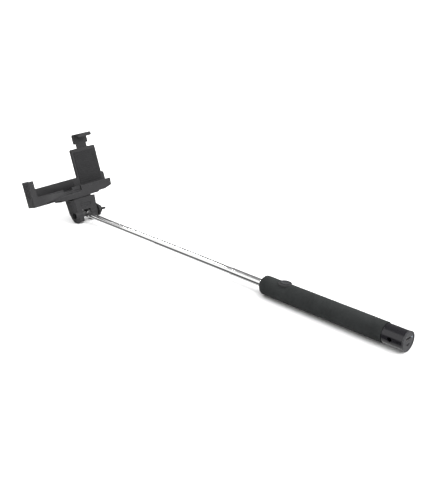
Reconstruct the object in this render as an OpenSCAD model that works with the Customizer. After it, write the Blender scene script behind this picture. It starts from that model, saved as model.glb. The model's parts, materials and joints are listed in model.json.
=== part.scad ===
// Telescopic selfie stick with a tilting, swivelling phone clamp and a shutter button in the grip.
// Row frame: the stick lies along Y on a table, handle towards -Y, +X to the right, +Z up.
// It rests on the underside of the grip and on the round underside of the head block.
// Distances along the stick are measured from the tilt bolt towards the handle.

/* [Telescopic pole] */
// Outer diameter of the thinnest section
tip_tube_d = 6.2; // [5:0.1:7]
// Wall of every section
tube_wall = 0.25; // [0.2:0.01:0.3]
// Radial running gap between one section and the next
tube_gap = 0.05; // [0.02:0.01:0.1]
// Length of one section
section_len = 120; // [90:1:150]
// Length that stays inside the next section at full reach
section_overlap = 8; // [5:1:15]
// How far the third section stands out of the handle
third_out = 42.1; // [20:0.1:80]
// Tilt bolt to the front of the second section when the tip section is pushed in
tip_reach = 17.9; // [16:0.1:30]
// Height of the flattened eye at the tip
eye_h = 8.4; // [7:0.1:9]
// Thickness of the flattened eye
eye_t = 3; // [2:0.1:4]

/* [Handle] */
// Thickness of the plastic liner between the outer tube and the foam
liner_t = 1.7; // [1.5:0.05:2.5]
// Radial thickness of the foam
foam_t = 2.85; // [2:0.05:4]
// How far the end cap's spigot reaches into the grip
spigot_len = 8.8; // [5:0.1:30]
// Outer diameter of the end cap
cap_d = 16.9; // [15.5:0.1:20]
// Length of the end cap with its plate
cap_len = 20.9; // [20:0.1:26]
// Thickness of the end plate
plate_t = 1.6; // [1.2:0.1:2.2]
// Diameter of the strap hole through the cap
strap_d = 4.2; // [3:0.1:4.6]
// Front of the cap to the strap hole
strap_from_cap = 8.1; // [7:0.1:9]
// Front of the grip to the shutter button
button_from_grip = 24.3; // [18:0.1:60]
// Travel of the shutter button
button_travel = 0.5; // [0.3:0.05:0.6]
// Travel of the power switch
switch_travel = 1.6; // [1:0.1:1.6]

/* [Head] */
// Backward lean of the phone clamp
lean = 16; // [0:1:30]
// Width of the head block at its top
head_w_top = 32.5; // [30:0.5:36]
// Width of the head block at its foot
head_w_foot = 28; // [26:0.5:29]
// How far the tilt bolt is ahead of the block's middle, along the stick
bolt_ahead = 4.7; // [0:0.1:5.5]
// Stick's axis to the top of the head block, at the block's middle
head_top = 17.4; // [16:0.1:22]
// Width of the slot that the pole's eye tilts in
slot_w = 11.8; // [9:0.1:13]
// Diameter of the tilt bolt
bolt_d = 4; // [3:0.1:5]
// Diameter of the tripod stud
stud_d = 6.2; // [6:0.05:6.35]
// Thickness of the friction pad under the clamp
pad_t = 1.4; // [1:0.1:2]

/* [Phone clamp] */
// Centre of the stick to the left end of the clamp
clamp_left = 63.4; // [50:0.1:80]
// Centre of the stick to the right end of the clamp
clamp_right = 45; // [43:0.1:60]
// Width of the phone that the clamp just holds
phone_w = 58.6; // [50:0.1:75]
// Thickness of the phone slot
slot_depth = 8.2; // [7:0.1:9]
// Thickness of the front lips
lip_t = 2.2; // [1.5:0.1:3]
// Thickness of the back wall that the sprung arm runs in
back_t = 4.4; // [4:0.1:6]
// Height of the tray under the phone
tray_h = 10.2; // [9:0.1:14]
// Height that the front lip stands above the tray floor
lip_h = 3.3; // [2:0.1:5]
// Centre of the stick to the centre of the sprung arm
arm_x = 24.5; // [20:0.1:26]
// Width of the hook on the arm
hook_w = 18.4; // [16:0.1:22]
// Travel of the sprung arm
arm_travel = 22; // [15:1:24]
// Travel of the side slider
slider_travel = 20; // [10:1:24]
// Gap between sliding faces
slide_gap = 0.1; // [0.05:0.01:0.2]

/* [Hidden] */
$fn = 64;
eps = 0.01;

// Colours
black = [0.13, 0.13, 0.14];
dark_grey = [0.30, 0.30, 0.31];
steel = [0.78, 0.79, 0.80];
foam_black = [0.17, 0.18, 0.18];

// Pole: stations along the stick, from the tilt bolt
bead_r = 0.22;
bead_len = 0.9;
bead_stagger = 1.2;
stroke = section_len - section_overlap;
front_2 = tip_reach + stroke;
front_3 = front_2 + stroke;
grip_front = front_3 + third_out;
ferrule_front = grip_front - 1.5;
front_5 = ferrule_front - bead_stagger;
front_4 = front_5 - bead_stagger;
outer_back = ferrule_front + section_len + 1;
eye_straight = 6.8;
eye_flare_end = 12.3;
tube_start = 9.5;

// Handle
outer_r = tip_tube_d / 2 + 5 * (tube_wall + tube_gap);
core_r = outer_r + liner_t;
grip_r = core_r + foam_t;
foam_gap = 0.1;
bore_gap = 0.05;
plug_t = 1.6;
plug_back = outer_back + plug_t;
grip_back = plug_back + spigot_len;
grip_len = grip_back - grip_front;
cap_back = grip_back + cap_len;
button_at = grip_front + button_from_grip;
strap_at = grip_back + strap_from_cap;
strap_sleeve_r = strap_d / 2 + 0.8;
cap_wall = 1.4;
cap_in_r = cap_d / 2 - cap_wall;
spigot_wall = 0.7;
bay_r = core_r - spigot_wall;
board_t = 0.8;
main_board_z = 2.4;
main_board_x = sqrt(pow(bay_r, 2) - pow(main_board_z + board_t, 2)) - 0.4;
groove_w = 2.4;
wire_r = 0.32;
wire_z = outer_r + 2 * wire_r;
switch_h = 1.5;
board_top = outer_r + 0.2 + board_t;
board_x = sqrt(pow(core_r, 2) - pow(board_top, 2)) + 0.01;
switch_r = board_top + switch_h;
button_low = switch_r + button_travel + 0.05;
button_l = 8.6;
button_w = 6.6;
flange_t = 0.7;
frame_top = button_low + flange_t + 1.05;
button_top = frame_top + 0.75;
io_z = 0.2;
usb_z = io_z + board_t;
usb_h = 2.6;
usb_w = 7.5;
usb_l = 5.4;
switch_z = -3.0;
knob_w = 2;
knob_h = 1.4;
lamp_x = usb_w / 2 + 1.55;
lamp_z = usb_z + 1;
lamp_r = 0.7;

// Head, in its own leaning frame about the tilt bolt or the block's middle on the stick's axis
head_r = grip_r;
boss_r = 5;
middle_y = cos(lean) * bolt_ahead;
middle_z = sin(lean) * bolt_ahead;
boss_x = head_w_foot / 2 + 0.1
    + (head_w_top - head_w_foot) / 2 * (head_r + boss_r) / (head_top + middle_z + head_r);
chamfer = 3.4;
front_chamfer = 0.6;
pocket_r = eye_h / 2 + 2.4;
slot_top = eye_h / 2;
eye_gap = 0.05;
washer_t = 0.8;
knob_x = boss_x + washer_t + 0.05;
hub_r = 7.6;
hub_t = 2.6;
hub_cone_t = 3.4;
hub_end_r = 4.2;
wing_r = 10;
wing_t = 2.4;
wing_x = 8.4;
nut_af = 7;
nut_t = 3.2;
nut_pocket_gap = 0.1;
stud_low = 9;
stud_flange_r = 5;
stud_flange_t = 2;
insert_r = 4.75;
insert_h = 5.2;
stud_gap = 0.06;

// Clamp, in the head's frame
tray_z = head_top + pad_t + 0.05;
floor_z = tray_z + tray_h;
back_pad_t = 0.5;
clamp_depth = lip_t + slot_depth + back_pad_t + back_t;
front_y = -clamp_depth / 2 + 0.15;
back_y = front_y + clamp_depth;
lip_y = front_y + lip_t;
wall_y = back_y - back_t;
floor_pad_t = 0.9;
lip_z = floor_z + lip_h;
bar_low = tray_z + insert_h + 0.5;
bar_h = 2.4;
bar_w = 10;
bar_reach = slider_travel + 18;
seam_z = bar_low - slide_gap;
housing_x = 29;
skirt_z = tray_z + 2.5;
end_chamfer = 0.2;
stop_t = 1.1;
stop_pad_t = 0.4;
stop_h = 22.3;
stop_lip_w = 6.3;
stop_x = -clamp_left;
low_wall_h = 12;
hook_low = floor_z + floor_pad_t + phone_w + 0.7;
hook_t = 1.7;
hook_lip_h = 2.7;
hook_pad_t = 0.6;
hook_top = hook_low + hook_t;
arm_w = 14;
guide_skin = 0.9;
arm_y = wall_y + guide_skin + slide_gap;
ear_w = 24;
ear_h = 3;
ear_z = floor_z + 18;
cavity_low = floor_z + 1.4;
cavity_high = ear_z + ear_h + arm_travel + 0.3;
wall_top = cavity_high + 2;
gusset_low = wall_top + 4.9;
wall_w = 34;
cover_t = 1.05;
cavity_back = back_y - cover_t;
arm_t = cavity_back - arm_y - 0.45;
screw_r = 0.6;
screw_head_r = 1.25;
screw_len = 3.4;
screw_dx = wall_w / 2 - 2.2;
screw_low = floor_z + 3.4;
screw_high = wall_top - 3.4;
spring_wire_r = 0.2;
spring_y = (wall_y + guide_skin + cavity_back) / 2;
spring_r = cavity_back - spring_y - spring_wire_r - 0.175;
spring_turns = 9;
spring_x = ear_w / 2 - 1.4;
spring_low = cavity_low + spring_wire_r + 0.05;
spring_high = ear_z - spring_wire_r - 0.05;

// Row frame: origin under the middle of the whole object
lean_c = cos(lean);
lean_s = sin(lean);
far_y = lean_c * back_y + lean_s * hook_top + bolt_ahead;
stick_x = (clamp_left - clamp_right) / 2;
head_y = (cap_back - far_y) / 2;
axis_z = grip_r;

// ---- Shared shapes ----

// Puts a shape drawn about the tilt bolt into the row frame
module row() {
    translate([stick_x, head_y, axis_z]) children();
}

// Puts a shape drawn about the tilt bolt in the leaning head frame into the row frame
module head_row() {
    row() rotate([-lean, 0, 0]) children();
}

// Moves a shape of the head frame from the tilt bolt to the block's middle
module to_middle() {
    translate([0, middle_y, middle_z]) children();
}

// Puts a shape drawn about the block's middle in the leaning head frame into the row frame
module clamp_row() {
    head_row() to_middle() children();
}

// Solid rod along the stick between two stations
module rod(from, to, r) {
    translate([0, -from, 0]) rotate([90, 0, 0]) cylinder(h = to - from, r = r);
}

// Tube along the stick between two stations
module pipe(from, to, r_out, r_in) {
    difference() {
        rod(from, to, r_out);
        rod(from - 1, to + 1, r_in);
    }
}

// Rod along X
module cross_rod(x0, x1, r) {
    translate([x0, 0, 0]) rotate([0, 90, 0]) cylinder(h = x1 - x0, r = r);
}

// Box between two corners
module span(a, b) {
    translate(a) cube(b - a);
}

// Box on the stick: x and z spans, between two stations
module stick_box(x0, x1, from, to, z0, z1) {
    span([x0, -to, z0], [x1, -from, z1]);
}

// Oval with round ends, long side along Y
module oval(l, w) {
    union() {
        square([w, l - w], center = true);
        for (s = [-1, 1]) translate([0, s * (l - w) / 2]) circle(d = w);
    }
}

// Outer radius of a telescope section, counted from the tip
function section_r(i) = tip_tube_d / 2 + (i - 1) * (tube_wall + tube_gap);

// One telescope section with the rolled bead at its front
module section_tube(i, front) {
    r = section_r(i);
    color(steel) row() {
        difference() {
            union() {
                rod(front, front + section_len, r);
                rod(front, front + bead_len, r + bead_r);
            }
            rod(front - 1, front + section_len + 1, r - tube_wall);
        }
    }
}

// ---- Pole ----

module outer_tube() {
    color(steel) row() pipe(ferrule_front, outer_back, outer_r, outer_r - tube_wall);
}

module section_5_tube() { section_tube(5, front_5); }
module section_4_tube() { section_tube(4, front_4); }
module section_3_tube() { section_tube(3, front_3); }
module section_2_tube() { section_tube(2, front_2); }

// Tip section, pressed flat into an eye that the tilt bolt goes through
module section_1_tube() {
    r = section_r(1);
    color(steel) row() {
        difference() {
            union() {
                rod(tube_start, front_2 + section_overlap, r);
                cross_rod(-eye_t / 2, eye_t / 2, eye_h / 2);
                translate([-eye_t / 2, 0, 0]) rotate([90, 0, 90]) linear_extrude(eye_t)
                    polygon([
                        [0, -eye_h / 2], [0, eye_h / 2], [-eye_straight, eye_h / 2],
                        [-eye_flare_end, r], [-eye_flare_end, -r], [-eye_straight, -eye_h / 2]
                    ]);
            }
            rod(eye_flare_end + 1, front_2 + section_overlap + 1, r - tube_wall);
            cross_rod(-eye_t, eye_t, bolt_d / 2 + eye_gap);
        }
    }
}

// ---- Handle ----

module front_ferrule() {
    color(black) row() difference() {
        union() {
            rod(ferrule_front, grip_front, core_r + 0.6);
            rod(grip_front - eps, grip_front + 4, core_r);
        }
        rod(ferrule_front - 1, grip_front + 5, outer_r + bore_gap);
    }
}

// Plastic liner between the outer tube and the foam
module core_tube() {
    front = grip_front + 4;
    color(dark_grey) row() difference() {
        rod(front, plug_back, core_r);
        rod(front - 1, plug_back + 1, outer_r + bore_gap);
        stick_box(-board_x - 0.7, board_x + 0.7, button_at - 6.2, button_at + 6.2, outer_r - 1, core_r + 1);
        stick_box(-groove_w / 2, groove_w / 2, button_at, plug_back + 1, outer_r - 1, wire_z + wire_r + 0.15);
    }
}

// Foam sleeve with a round front edge and the well for the button frame
module foam_grip() {
    r_in = core_r + foam_gap;
    edge = 1.6;
    color(foam_black) row() difference() {
        translate([0, -grip_front, 0]) rotate([90, 0, 0]) rotate_extrude()
            polygon(concat(
                [[r_in, 0], [grip_r - edge, 0]],
                [for (a = [10:10:80]) [grip_r - edge + edge * sin(a), edge - edge * cos(a)]],
                [[grip_r, edge], [grip_r, grip_len - 0.4], [grip_r - 0.4, grip_len], [r_in, grip_len]]
            ));
        translate([0, -button_at, 0]) linear_extrude(2 * grip_r) oval(button_l + 4.8, button_w + 4.8);
    }
}

// Oval plastic frame round the button, standing on the liner
module button_frame() {
    skirt = 1.6;
    color(black) row() translate([0, -button_at, 0]) difference() {
        translate([0, 0, core_r - 1]) linear_extrude(frame_top - core_r + 1)
            oval(button_l + 4.6, button_w + 4.6);
        linear_extrude(2 * grip_r) oval(button_l + 0.5, button_w + 0.5);
        linear_extrude(button_low + flange_t + 0.3) oval(button_l + skirt + 0.4, button_w + skirt + 0.4);
        rotate([90, 0, 0]) translate([0, 0, -15]) cylinder(h = 30, r = core_r + 0.05);
    }
}

module shutter_button() {
    dish_r = 14;
    color(dark_grey) row() translate([0, -button_at, 0]) difference() {
        union() {
            translate([0, 0, button_low]) linear_extrude(flange_t) oval(button_l + 1.6, button_w + 1.6);
            translate([0, 0, button_low]) linear_extrude(button_top - button_low) oval(button_l, button_w);
        }
        translate([0, 0, button_top + dish_r - 0.35]) sphere(r = dish_r);
    }
}

module button_board() {
    color("darkgreen") row()
        stick_box(-board_x, board_x, button_at - 5.6, button_at + 5.6, board_top - board_t, board_top);
}

module tact_switch() {
    color("dimgray") row() translate([0, -button_at, 0]) union() {
        translate([-2.2, -2.2, board_top]) cube([4.4, 4.4, switch_h - 0.5]);
        translate([0, 0, board_top]) cylinder(h = switch_h, r = 1);
    }
}

// Two leads from the button board back to the main board
module signal_wires() {
    color("firebrick") row() for (s = [-1, 1])
        translate([s * 0.75, 0, wire_z]) rod(button_at + 5.7, plug_back, wire_r);
}

// Plug that closes the outer tube ahead of the electronics
module rear_plug() {
    color(dark_grey) row() union() {
        rod(outer_back - 1.5, plug_back, outer_r - tube_wall - bore_gap);
        rod(outer_back, plug_back, outer_r);
    }
}

// Glossy cap: spigot into the grip, shell, and the sleeve of the strap hole
module end_cap() {
    shell_back = cap_back - plate_t;
    color([0.08, 0.08, 0.09]) row() difference() {
        union() {
            difference() {
                union() {
                    rod(plug_back, grip_back, core_r);
                    rod(grip_back, shell_back, cap_d / 2);
                }
                rod(plug_back - 1, grip_back + 1.2, bay_r);
                rod(grip_back + 1.2 - eps, shell_back + 1, cap_in_r);
            }
            intersection() {
                translate([0, -strap_at, 0]) cross_rod(-cap_d / 2, cap_d / 2, strap_sleeve_r);
                rod(grip_back, shell_back, cap_d / 2);
            }
        }
        translate([0, -strap_at, 0]) cross_rod(-cap_d, cap_d, strap_d / 2);
    }
}

// End plate with the charging port, the switch slot and the lamp hole
module end_plate() {
    rim = 0.35;
    color(dark_grey) row() difference() {
        union() {
            rod(cap_back - plate_t, cap_back, cap_d / 2 + rim);
            rod(cap_back - plate_t - 1, cap_back - plate_t + eps, cap_in_r - 0.05);
        }
        rod(cap_back - plate_t - 2, cap_back - plate_t - 0.2, cap_in_r - 1);
        rod(cap_back - 0.5, cap_back + 1, cap_d / 2 - 0.7);
        stick_box(-usb_w / 2 - 0.2, usb_w / 2 + 0.2, cap_back - 3, cap_back + 1,
            usb_z - 0.1, usb_z + usb_h + 0.2);
        stick_box(-knob_w / 2 - switch_travel / 2 - 0.15, knob_w / 2 + switch_travel / 2 + 0.15,
            cap_back - 3, cap_back + 1, switch_z - knob_h / 2 - 0.1, switch_z + knob_h / 2 + 0.1);
        translate([lamp_x, 0, lamp_z]) rod(cap_back - 4, cap_back + 1, lamp_r + 0.05);
    }
}

module main_board() {
    color("darkgreen") row()
        stick_box(-main_board_x, main_board_x, plug_back + 0.8, strap_at - strap_sleeve_r - 0.6,
            main_board_z, main_board_z + board_t);
}

module battery() {
    color("silver") row()
        stick_box(-main_board_x + 0.2, main_board_x - 0.2, plug_back + 0.8,
            strap_at - strap_sleeve_r - 0.6, -2.3, main_board_z - 0.9);
}

module io_board() {
    color("darkgreen") row()
        stick_box(-cap_in_r + 1.25, cap_in_r - 1.25, strap_at + strap_sleeve_r + 0.3, cap_back - plate_t - 1.1, io_z, io_z + board_t);
}

// Charging socket: a thin steel shell round a plastic tongue
module usb_socket() {
    shell = 0.3;
    back = cap_back - 0.7;
    color("silver") row() union() {
        difference() {
            stick_box(-usb_w / 2, usb_w / 2, back - usb_l, back, usb_z, usb_z + usb_h);
            stick_box(-usb_w / 2 + shell, usb_w / 2 - shell, back - usb_l + shell, back + 1,
                usb_z + shell, usb_z + usb_h - shell);
        }
        stick_box(-2.4, 2.4, back - usb_l + shell - eps, back - 0.8, usb_z + 1.3, usb_z + 1.9);
    }
}

module slide_switch() {
    front = strap_at + strap_sleeve_r + 0.4;
    color("dimgray") row() difference() {
        stick_box(-3.8, 3.8, front, cap_back - plate_t - 1.2, io_z - 4.4, io_z);
        stick_box(-knob_w / 2 - switch_travel / 2 - 0.2, knob_w / 2 + switch_travel / 2 + 0.2,
            cap_back - plate_t - 2.4, cap_back, switch_z - knob_h / 2 - 0.2, switch_z + knob_h / 2 + 0.2);
    }
}

// Knob of the power switch, at the off end of its slot
module switch_knob() {
    color(black) row() translate([-switch_travel / 2, 0, 0])
        stick_box(-knob_w / 2, knob_w / 2, cap_back - plate_t - 2.2, cap_back - 0.1,
            switch_z - knob_h / 2, switch_z + knob_h / 2);
}

module status_led() {
    color([0.6, 0.75, 0.95]) row() translate([lamp_x, 0, lamp_z])
        rod(cap_back - plate_t - 0.7, cap_back - 0.6, lamp_r);
}

// ---- Head ----

// Level slice of the block: its corners are cut off, the front right one only a little
module head_slice(w) {
    x = w / 2;
    y = head_r;
    linear_extrude(eps) polygon([
        [-x, chamfer - y], [chamfer - x, -y], [x - front_chamfer, -y], [x, front_chamfer - y],
        [x, y - chamfer], [x - chamfer, y], [chamfer - x, y], [-x, y - chamfer]
    ]);
}

// Tapered block with a round foot about the tilt bolt, slotted for the eye of the pole
module head_block() {
    color(dark_grey) head_row() difference() {
        union() {
            intersection() {
                to_middle() hull() {
                    translate([0, 0, head_top - eps]) head_slice(head_w_top);
                    translate([0, 0, -head_r - middle_z]) head_slice(head_w_foot);
                }
                hull() {
                    cross_rod(-head_w_top, head_w_top, head_r);
                    to_middle() span([-head_w_top, -head_r - 1, head_top - 3], [head_w_top, head_r, head_top]);
                }
            }
            cross_rod(-boss_x, boss_x, boss_r);
            to_middle() span([-5.2, -head_r - 0.4, 7.1], [8.4, -head_r + 1, 12.2]);
        }
        cross_rod(-slot_w / 2, slot_w / 2, pocket_r);
        span([-slot_w / 2, -3 * head_r, -3 * head_r], [slot_w / 2, 3 * head_r, slot_top]);
        cross_rod(-boss_x - 1, boss_x + 1, bolt_d / 2 + bore_gap);
        translate([-boss_x - 1, 0, 0]) rotate([0, 90, 0])
            cylinder(h = nut_t + 1.6, d = (nut_af + 2 * nut_pocket_gap) / cos(30), $fn = 6);
        to_middle() translate([0, 0, stud_low]) cylinder(h = head_top, d = stud_d);
        to_middle() translate([0, 0, stud_low]) cylinder(h = stud_flange_t, r = stud_flange_r);
    }
}

// Two plastic bushes that centre the eye in the slot
module spacer_bushes() {
    color("ivory") head_row() for (s = [-1, 1])
        difference() {
            cross_rod(min(s * (eye_t / 2 + eye_gap), s * (slot_w / 2)),
                max(s * (eye_t / 2 + eye_gap), s * (slot_w / 2)), eye_h / 2 - 0.3);
            cross_rod(-slot_w, slot_w, bolt_d / 2 + bore_gap);
        }
}

module tripod_stud() {
    color(steel) clamp_row() translate([0, 0, stud_low]) union() {
        cylinder(h = stud_flange_t, r = stud_flange_r);
        cylinder(h = tray_z + insert_h - 0.6 - stud_low, d = stud_d);
    }
}

module friction_pad() {
    color(black) clamp_row() difference() {
        span([-12.5, -7.4, head_top], [12.5, 7.4, head_top + pad_t]);
        translate([0, 0, head_top - 1]) cylinder(h = pad_t + 2, d = stud_d + 0.2);
    }
}

module hex_nut() {
    color(steel) head_row() difference() {
        translate([-boss_x + 0.5, 0, 0]) rotate([0, 90, 0])
            cylinder(h = nut_t - eps * 10, d = nut_af / cos(30), $fn = 6);
        cross_rod(-boss_x - 1, 0, bolt_d / 2 + bore_gap);
    }
}

module bolt_washer() {
    color(steel) head_row() difference() {
        cross_rod(boss_x, boss_x + washer_t, boss_r - 0.2);
        cross_rod(boss_x - 1, boss_x + washer_t + 1, bolt_d / 2 + 0.1);
    }
}

module clamp_bolt() {
    color(steel) head_row() cross_rod(-boss_x + 0.2, knob_x + hub_t, bolt_d / 2);
}

// Wing knob: a round hub, a cone and two flared wings
module wing_knob() {
    wing_low = 1;
    color(black) head_row() difference() {
        union() {
            cross_rod(knob_x, knob_x + hub_t, hub_r);
            translate([knob_x + hub_t - eps, 0, 0]) rotate([0, 90, 0])
                cylinder(h = hub_cone_t, r1 = hub_r - 0.8, r2 = hub_end_r);
            translate([knob_x, 0, 0]) for (s = [-1, 1])
                translate([0, 0, -wing_t / 2]) linear_extrude(wing_t) union() {
                    polygon([
                        [wing_low, s * (hub_r - 1)], [wing_x - 2.6, s * (wing_r - 2.6)],
                        [wing_x, s * (wing_r - 3.4)], [wing_x - 3.4, s * 2], [wing_low, 0]
                    ]);
                    translate([wing_x - 2.6, s * (wing_r - 2.6)]) circle(r = 2.6);
                    polygon([
                        [wing_low, s * (hub_r - 1)], [wing_low + 2, s * (hub_r - 0.2)],
                        [wing_x - 2.6, s * wing_r], [wing_x - 2.6, s * (wing_r - 4)]
                    ]);
                }
        }
        cross_rod(knob_x - 1, knob_x + hub_t, bolt_d / 2);
    }
}

// ---- Phone clamp ----

// Fixed part: right half of the tray, the slider's housing and the arm's guide
module holder_body() {
    step = 1.4;
    color(dark_grey) clamp_row() difference() {
        union() {
            // right half of the tray, stepped up and chamfered at its end
            translate([0, back_y, 0]) rotate([90, 0, 0]) linear_extrude(clamp_depth) polygon([
                [slide_gap, tray_z], [24, tray_z], [25.5, tray_z + step], [34, tray_z + step],
                [clamp_right, tray_z + 4.5], [clamp_right, floor_z], [slide_gap, floor_z]
            ]);
            // housing under the slider
            span([-housing_x, front_y, tray_z], [slide_gap + 1, back_y, seam_z - slide_gap]);
            // front lip
            span([slide_gap, front_y, floor_z - 1], [clamp_right, lip_y, lip_z - 0.8]);
            // low back wall and the tall guide wall
            span([slide_gap, wall_y, floor_z - 1], [clamp_right, back_y, floor_z + low_wall_h]);
            span([arm_x - wall_w / 2, wall_y, floor_z], [arm_x + wall_w / 2, back_y, wall_top]);
        }
        // sleeve for the slider's bar
        span([-1, -bar_w / 2 - slide_gap, bar_low - slide_gap],
            [bar_reach + 1, bar_w / 2 + slide_gap, bar_low + bar_h + slide_gap]);
        // seat of the tripod insert
        translate([0, 0, tray_z - 1]) cylinder(h = insert_h + 1, r = insert_r);
        // arm guide, open at the top, and the recess for the cover
        span([arm_x - ear_w / 2 - 0.2, wall_y + guide_skin, cavity_low],
            [arm_x + ear_w / 2 + 0.2, back_y + 1, cavity_high]);
        span([arm_x - arm_w / 2 - slide_gap, wall_y + guide_skin, cavity_high - 1],
            [arm_x + arm_w / 2 + slide_gap, back_y + 1, wall_top + 1]);
        span([arm_x - wall_w / 2 + 0.8, cavity_back, cavity_low - 1],
            [arm_x + wall_w / 2 - 0.8, back_y + 1, wall_top + 1]);
        for (dx = [-screw_dx, screw_dx], z = [screw_low, screw_high])
            translate([arm_x + dx, back_y + 1, z]) rotate([90, 0, 0])
                cylinder(h = screw_len + 1, r = screw_r);
    }
}

module tripod_insert() {
    color([0.80, 0.65, 0.32]) clamp_row() difference() {
        translate([0, 0, tray_z]) cylinder(h = insert_h, r = insert_r);
        translate([0, 0, tray_z - 1]) cylinder(h = insert_h + 2, d = stud_d + 2 * stud_gap);
    }
}

module back_cover() {
    color(dark_grey) clamp_row() difference() {
        span([arm_x - wall_w / 2 + 0.9, cavity_back, cavity_low - 0.9],
            [arm_x + wall_w / 2 - 0.9, back_y, wall_top]);
        for (dx = [-screw_dx, screw_dx], z = [screw_low, screw_high])
            translate([arm_x + dx, back_y + 1, z]) rotate([90, 0, 0]) {
                cylinder(h = 3, r = screw_r + 0.05);
                cylinder(h = 1.6, r = screw_head_r + 0.05);
            }
    }
}

module cover_screws() {
    color(steel) clamp_row() for (dx = [-screw_dx, screw_dx], z = [screw_low, screw_high])
        translate([arm_x + dx, back_y - 0.1, z]) rotate([90, 0, 0]) difference() {
            union() {
                cylinder(h = 0.5, r = screw_head_r);
                cylinder(h = screw_len - 0.2, r = screw_r);
            }
            translate([-0.7, -0.12, -eps]) cube([1.4, 0.24, 0.3]);
            translate([-0.12, -0.7, -eps]) cube([0.24, 1.4, 0.3]);
        }
}

// Points of one ring of the spring wire at turn angle a
function spring_ring(a, turns, length) = let (
    rise = length * a / (360 * turns),
    centre = [spring_r * cos(a), spring_r * sin(a), rise]
) [for (k = [0:5]) centre + spring_wire_r * (cos(60 * k) * [cos(a), sin(a), 0] + sin(60 * k) * [0, 0, 1])];

// Tension spring standing on its lower end
module coil_spring(turns, length) {
    steps = turns * 10;
    rings = [for (i = [0:steps]) spring_ring(i * 36, turns, length)];
    last = steps * 6;
    polyhedron(
        points = [for (ring = rings) each ring],
        faces = concat(
            [[for (k = [0:5]) k]],
            [for (i = [0:steps - 1], k = [0:5])
                [i * 6 + k, (i + 1) * 6 + k, (i + 1) * 6 + (k + 1) % 6, i * 6 + (k + 1) % 6]],
            [[for (k = [5:-1:0]) last + k]]
        ),
        convexity = 10
    );
}

module arm_springs() {
    color(steel) clamp_row() for (s = [-1, 1])
        translate([arm_x + s * spring_x, spring_y, spring_low])
            coil_spring(spring_turns, spring_high - spring_low);
}

module body_floor_pad() {
    color(black) clamp_row()
        span([1, lip_y + 0.2, floor_z], [clamp_right - 1, wall_y - 0.2, floor_z + floor_pad_t]);
}

module back_pad() {
    color(black) clamp_row() span([arm_x - 15, wall_y - back_pad_t, floor_z + 4], [arm_x + 15, wall_y, wall_top - 4]);
}

// Left half of the tray with the end stop, and the bar that runs in the body
module side_slider() {
    right = -slide_gap;
    notch_l = -22.6;
    notch_r = -10.5;
    color(dark_grey) clamp_row() difference() {
        union() {
            span([stop_x, front_y, seam_z], [right, back_y, floor_z]);
            translate([0, back_y, 0]) rotate([90, 0, 0]) linear_extrude(clamp_depth) polygon([
                [stop_x, skirt_z + end_chamfer], [stop_x + 14, skirt_z],
                [-housing_x - slide_gap, skirt_z], [-housing_x - slide_gap, floor_z], [stop_x, floor_z]
            ]);
            span([stop_x, front_y, floor_z - 1], [right, lip_y, lip_z]);
            span([stop_x, wall_y, floor_z - 1], [right, back_y, floor_z + low_wall_h]);
            // end stop: side plate, front lip and back corner
            span([stop_x, front_y, floor_z - 1], [stop_x + stop_t, back_y, floor_z + stop_h]);
            span([stop_x, front_y, floor_z - 1], [stop_x + stop_lip_w, lip_y, floor_z + stop_h]);
            span([stop_x, wall_y, floor_z - 1], [stop_x + stop_lip_w, back_y, floor_z + stop_h]);
            // fillet where the end stop meets the lip
            translate([0, lip_y, 0]) rotate([90, 0, 0]) linear_extrude(lip_t) difference() {
                translate([stop_x + stop_lip_w - eps, lip_z - eps]) square(3);
                translate([stop_x + stop_lip_w + 3, lip_z + 3]) circle(r = 3);
            }
            // bar
            span([right - 1, -bar_w / 2, bar_low], [bar_reach, bar_w / 2, bar_low + bar_h]);
        }
        span([notch_l, front_y - 1, floor_z], [notch_r, lip_y + 0.01, lip_z + 1]);
    }
}

module slider_floor_pad() {
    color(black) clamp_row()
        span([stop_x + stop_t + 0.6, lip_y + 0.2, floor_z], [-1, wall_y - 0.2, floor_z + floor_pad_t]);
}

module stop_pad() {
    color(black) clamp_row()
        span([stop_x + stop_t, lip_y + 0.5, floor_z + 3], [stop_x + stop_t + stop_pad_t, wall_y - 0.5,
            floor_z + stop_h - 2]);
}

// Sprung arm: strip with two ears in the guide, gusset, top plate and hook lip
module clamp_arm() {
    color(dark_grey) clamp_row() union() {
        span([arm_x - arm_w / 2, arm_y, cavity_low + 1], [arm_x + arm_w / 2, arm_y + arm_t, hook_low + eps]);
        span([arm_x - ear_w / 2, arm_y, ear_z], [arm_x + ear_w / 2, arm_y + arm_t, ear_z + ear_h]);
        span([arm_x - hook_w / 2, wall_y, gusset_low], [arm_x + hook_w / 2, back_y, hook_low + eps]);
        span([arm_x - hook_w / 2, front_y, hook_low], [arm_x + hook_w / 2, back_y, hook_top]);
        span([arm_x - hook_w / 2, front_y, hook_low - hook_lip_h], [arm_x + hook_w / 2, lip_y, hook_low + eps]);
    }
}

module hook_pad() {
    color(black) clamp_row()
        span([arm_x - 8, lip_y + 0.3, hook_low - hook_pad_t], [arm_x + 8, wall_y - 0.3, hook_low]);
}

outer_tube();
section_5_tube();
section_4_tube();
section_3_tube();
section_2_tube();
section_1_tube();
front_ferrule();
core_tube();
foam_grip();
button_frame();
shutter_button();
button_board();
tact_switch();
signal_wires();
rear_plug();
end_cap();
end_plate();
main_board();
battery();
io_board();
usb_socket();
slide_switch();
switch_knob();
status_led();
head_block();
spacer_bushes();
tripod_stud();
friction_pad();
hex_nut();
bolt_washer();
clamp_bolt();
wing_knob();
holder_body();
tripod_insert();
back_cover();
cover_screws();
arm_springs();
body_floor_pad();
back_pad();
side_slider();
slider_floor_pad();
stop_pad();
clamp_arm();
hook_pad();
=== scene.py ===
"""Looks of a telescopic selfie stick: pole, foam grip, end cap, tilting head and sprung phone clamp.

Pieces are modelled in millimetres about the tilt bolt, either along the stick or in the leaning
frame of the head, and then put in place in the row frame, in metres.
"""

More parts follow.
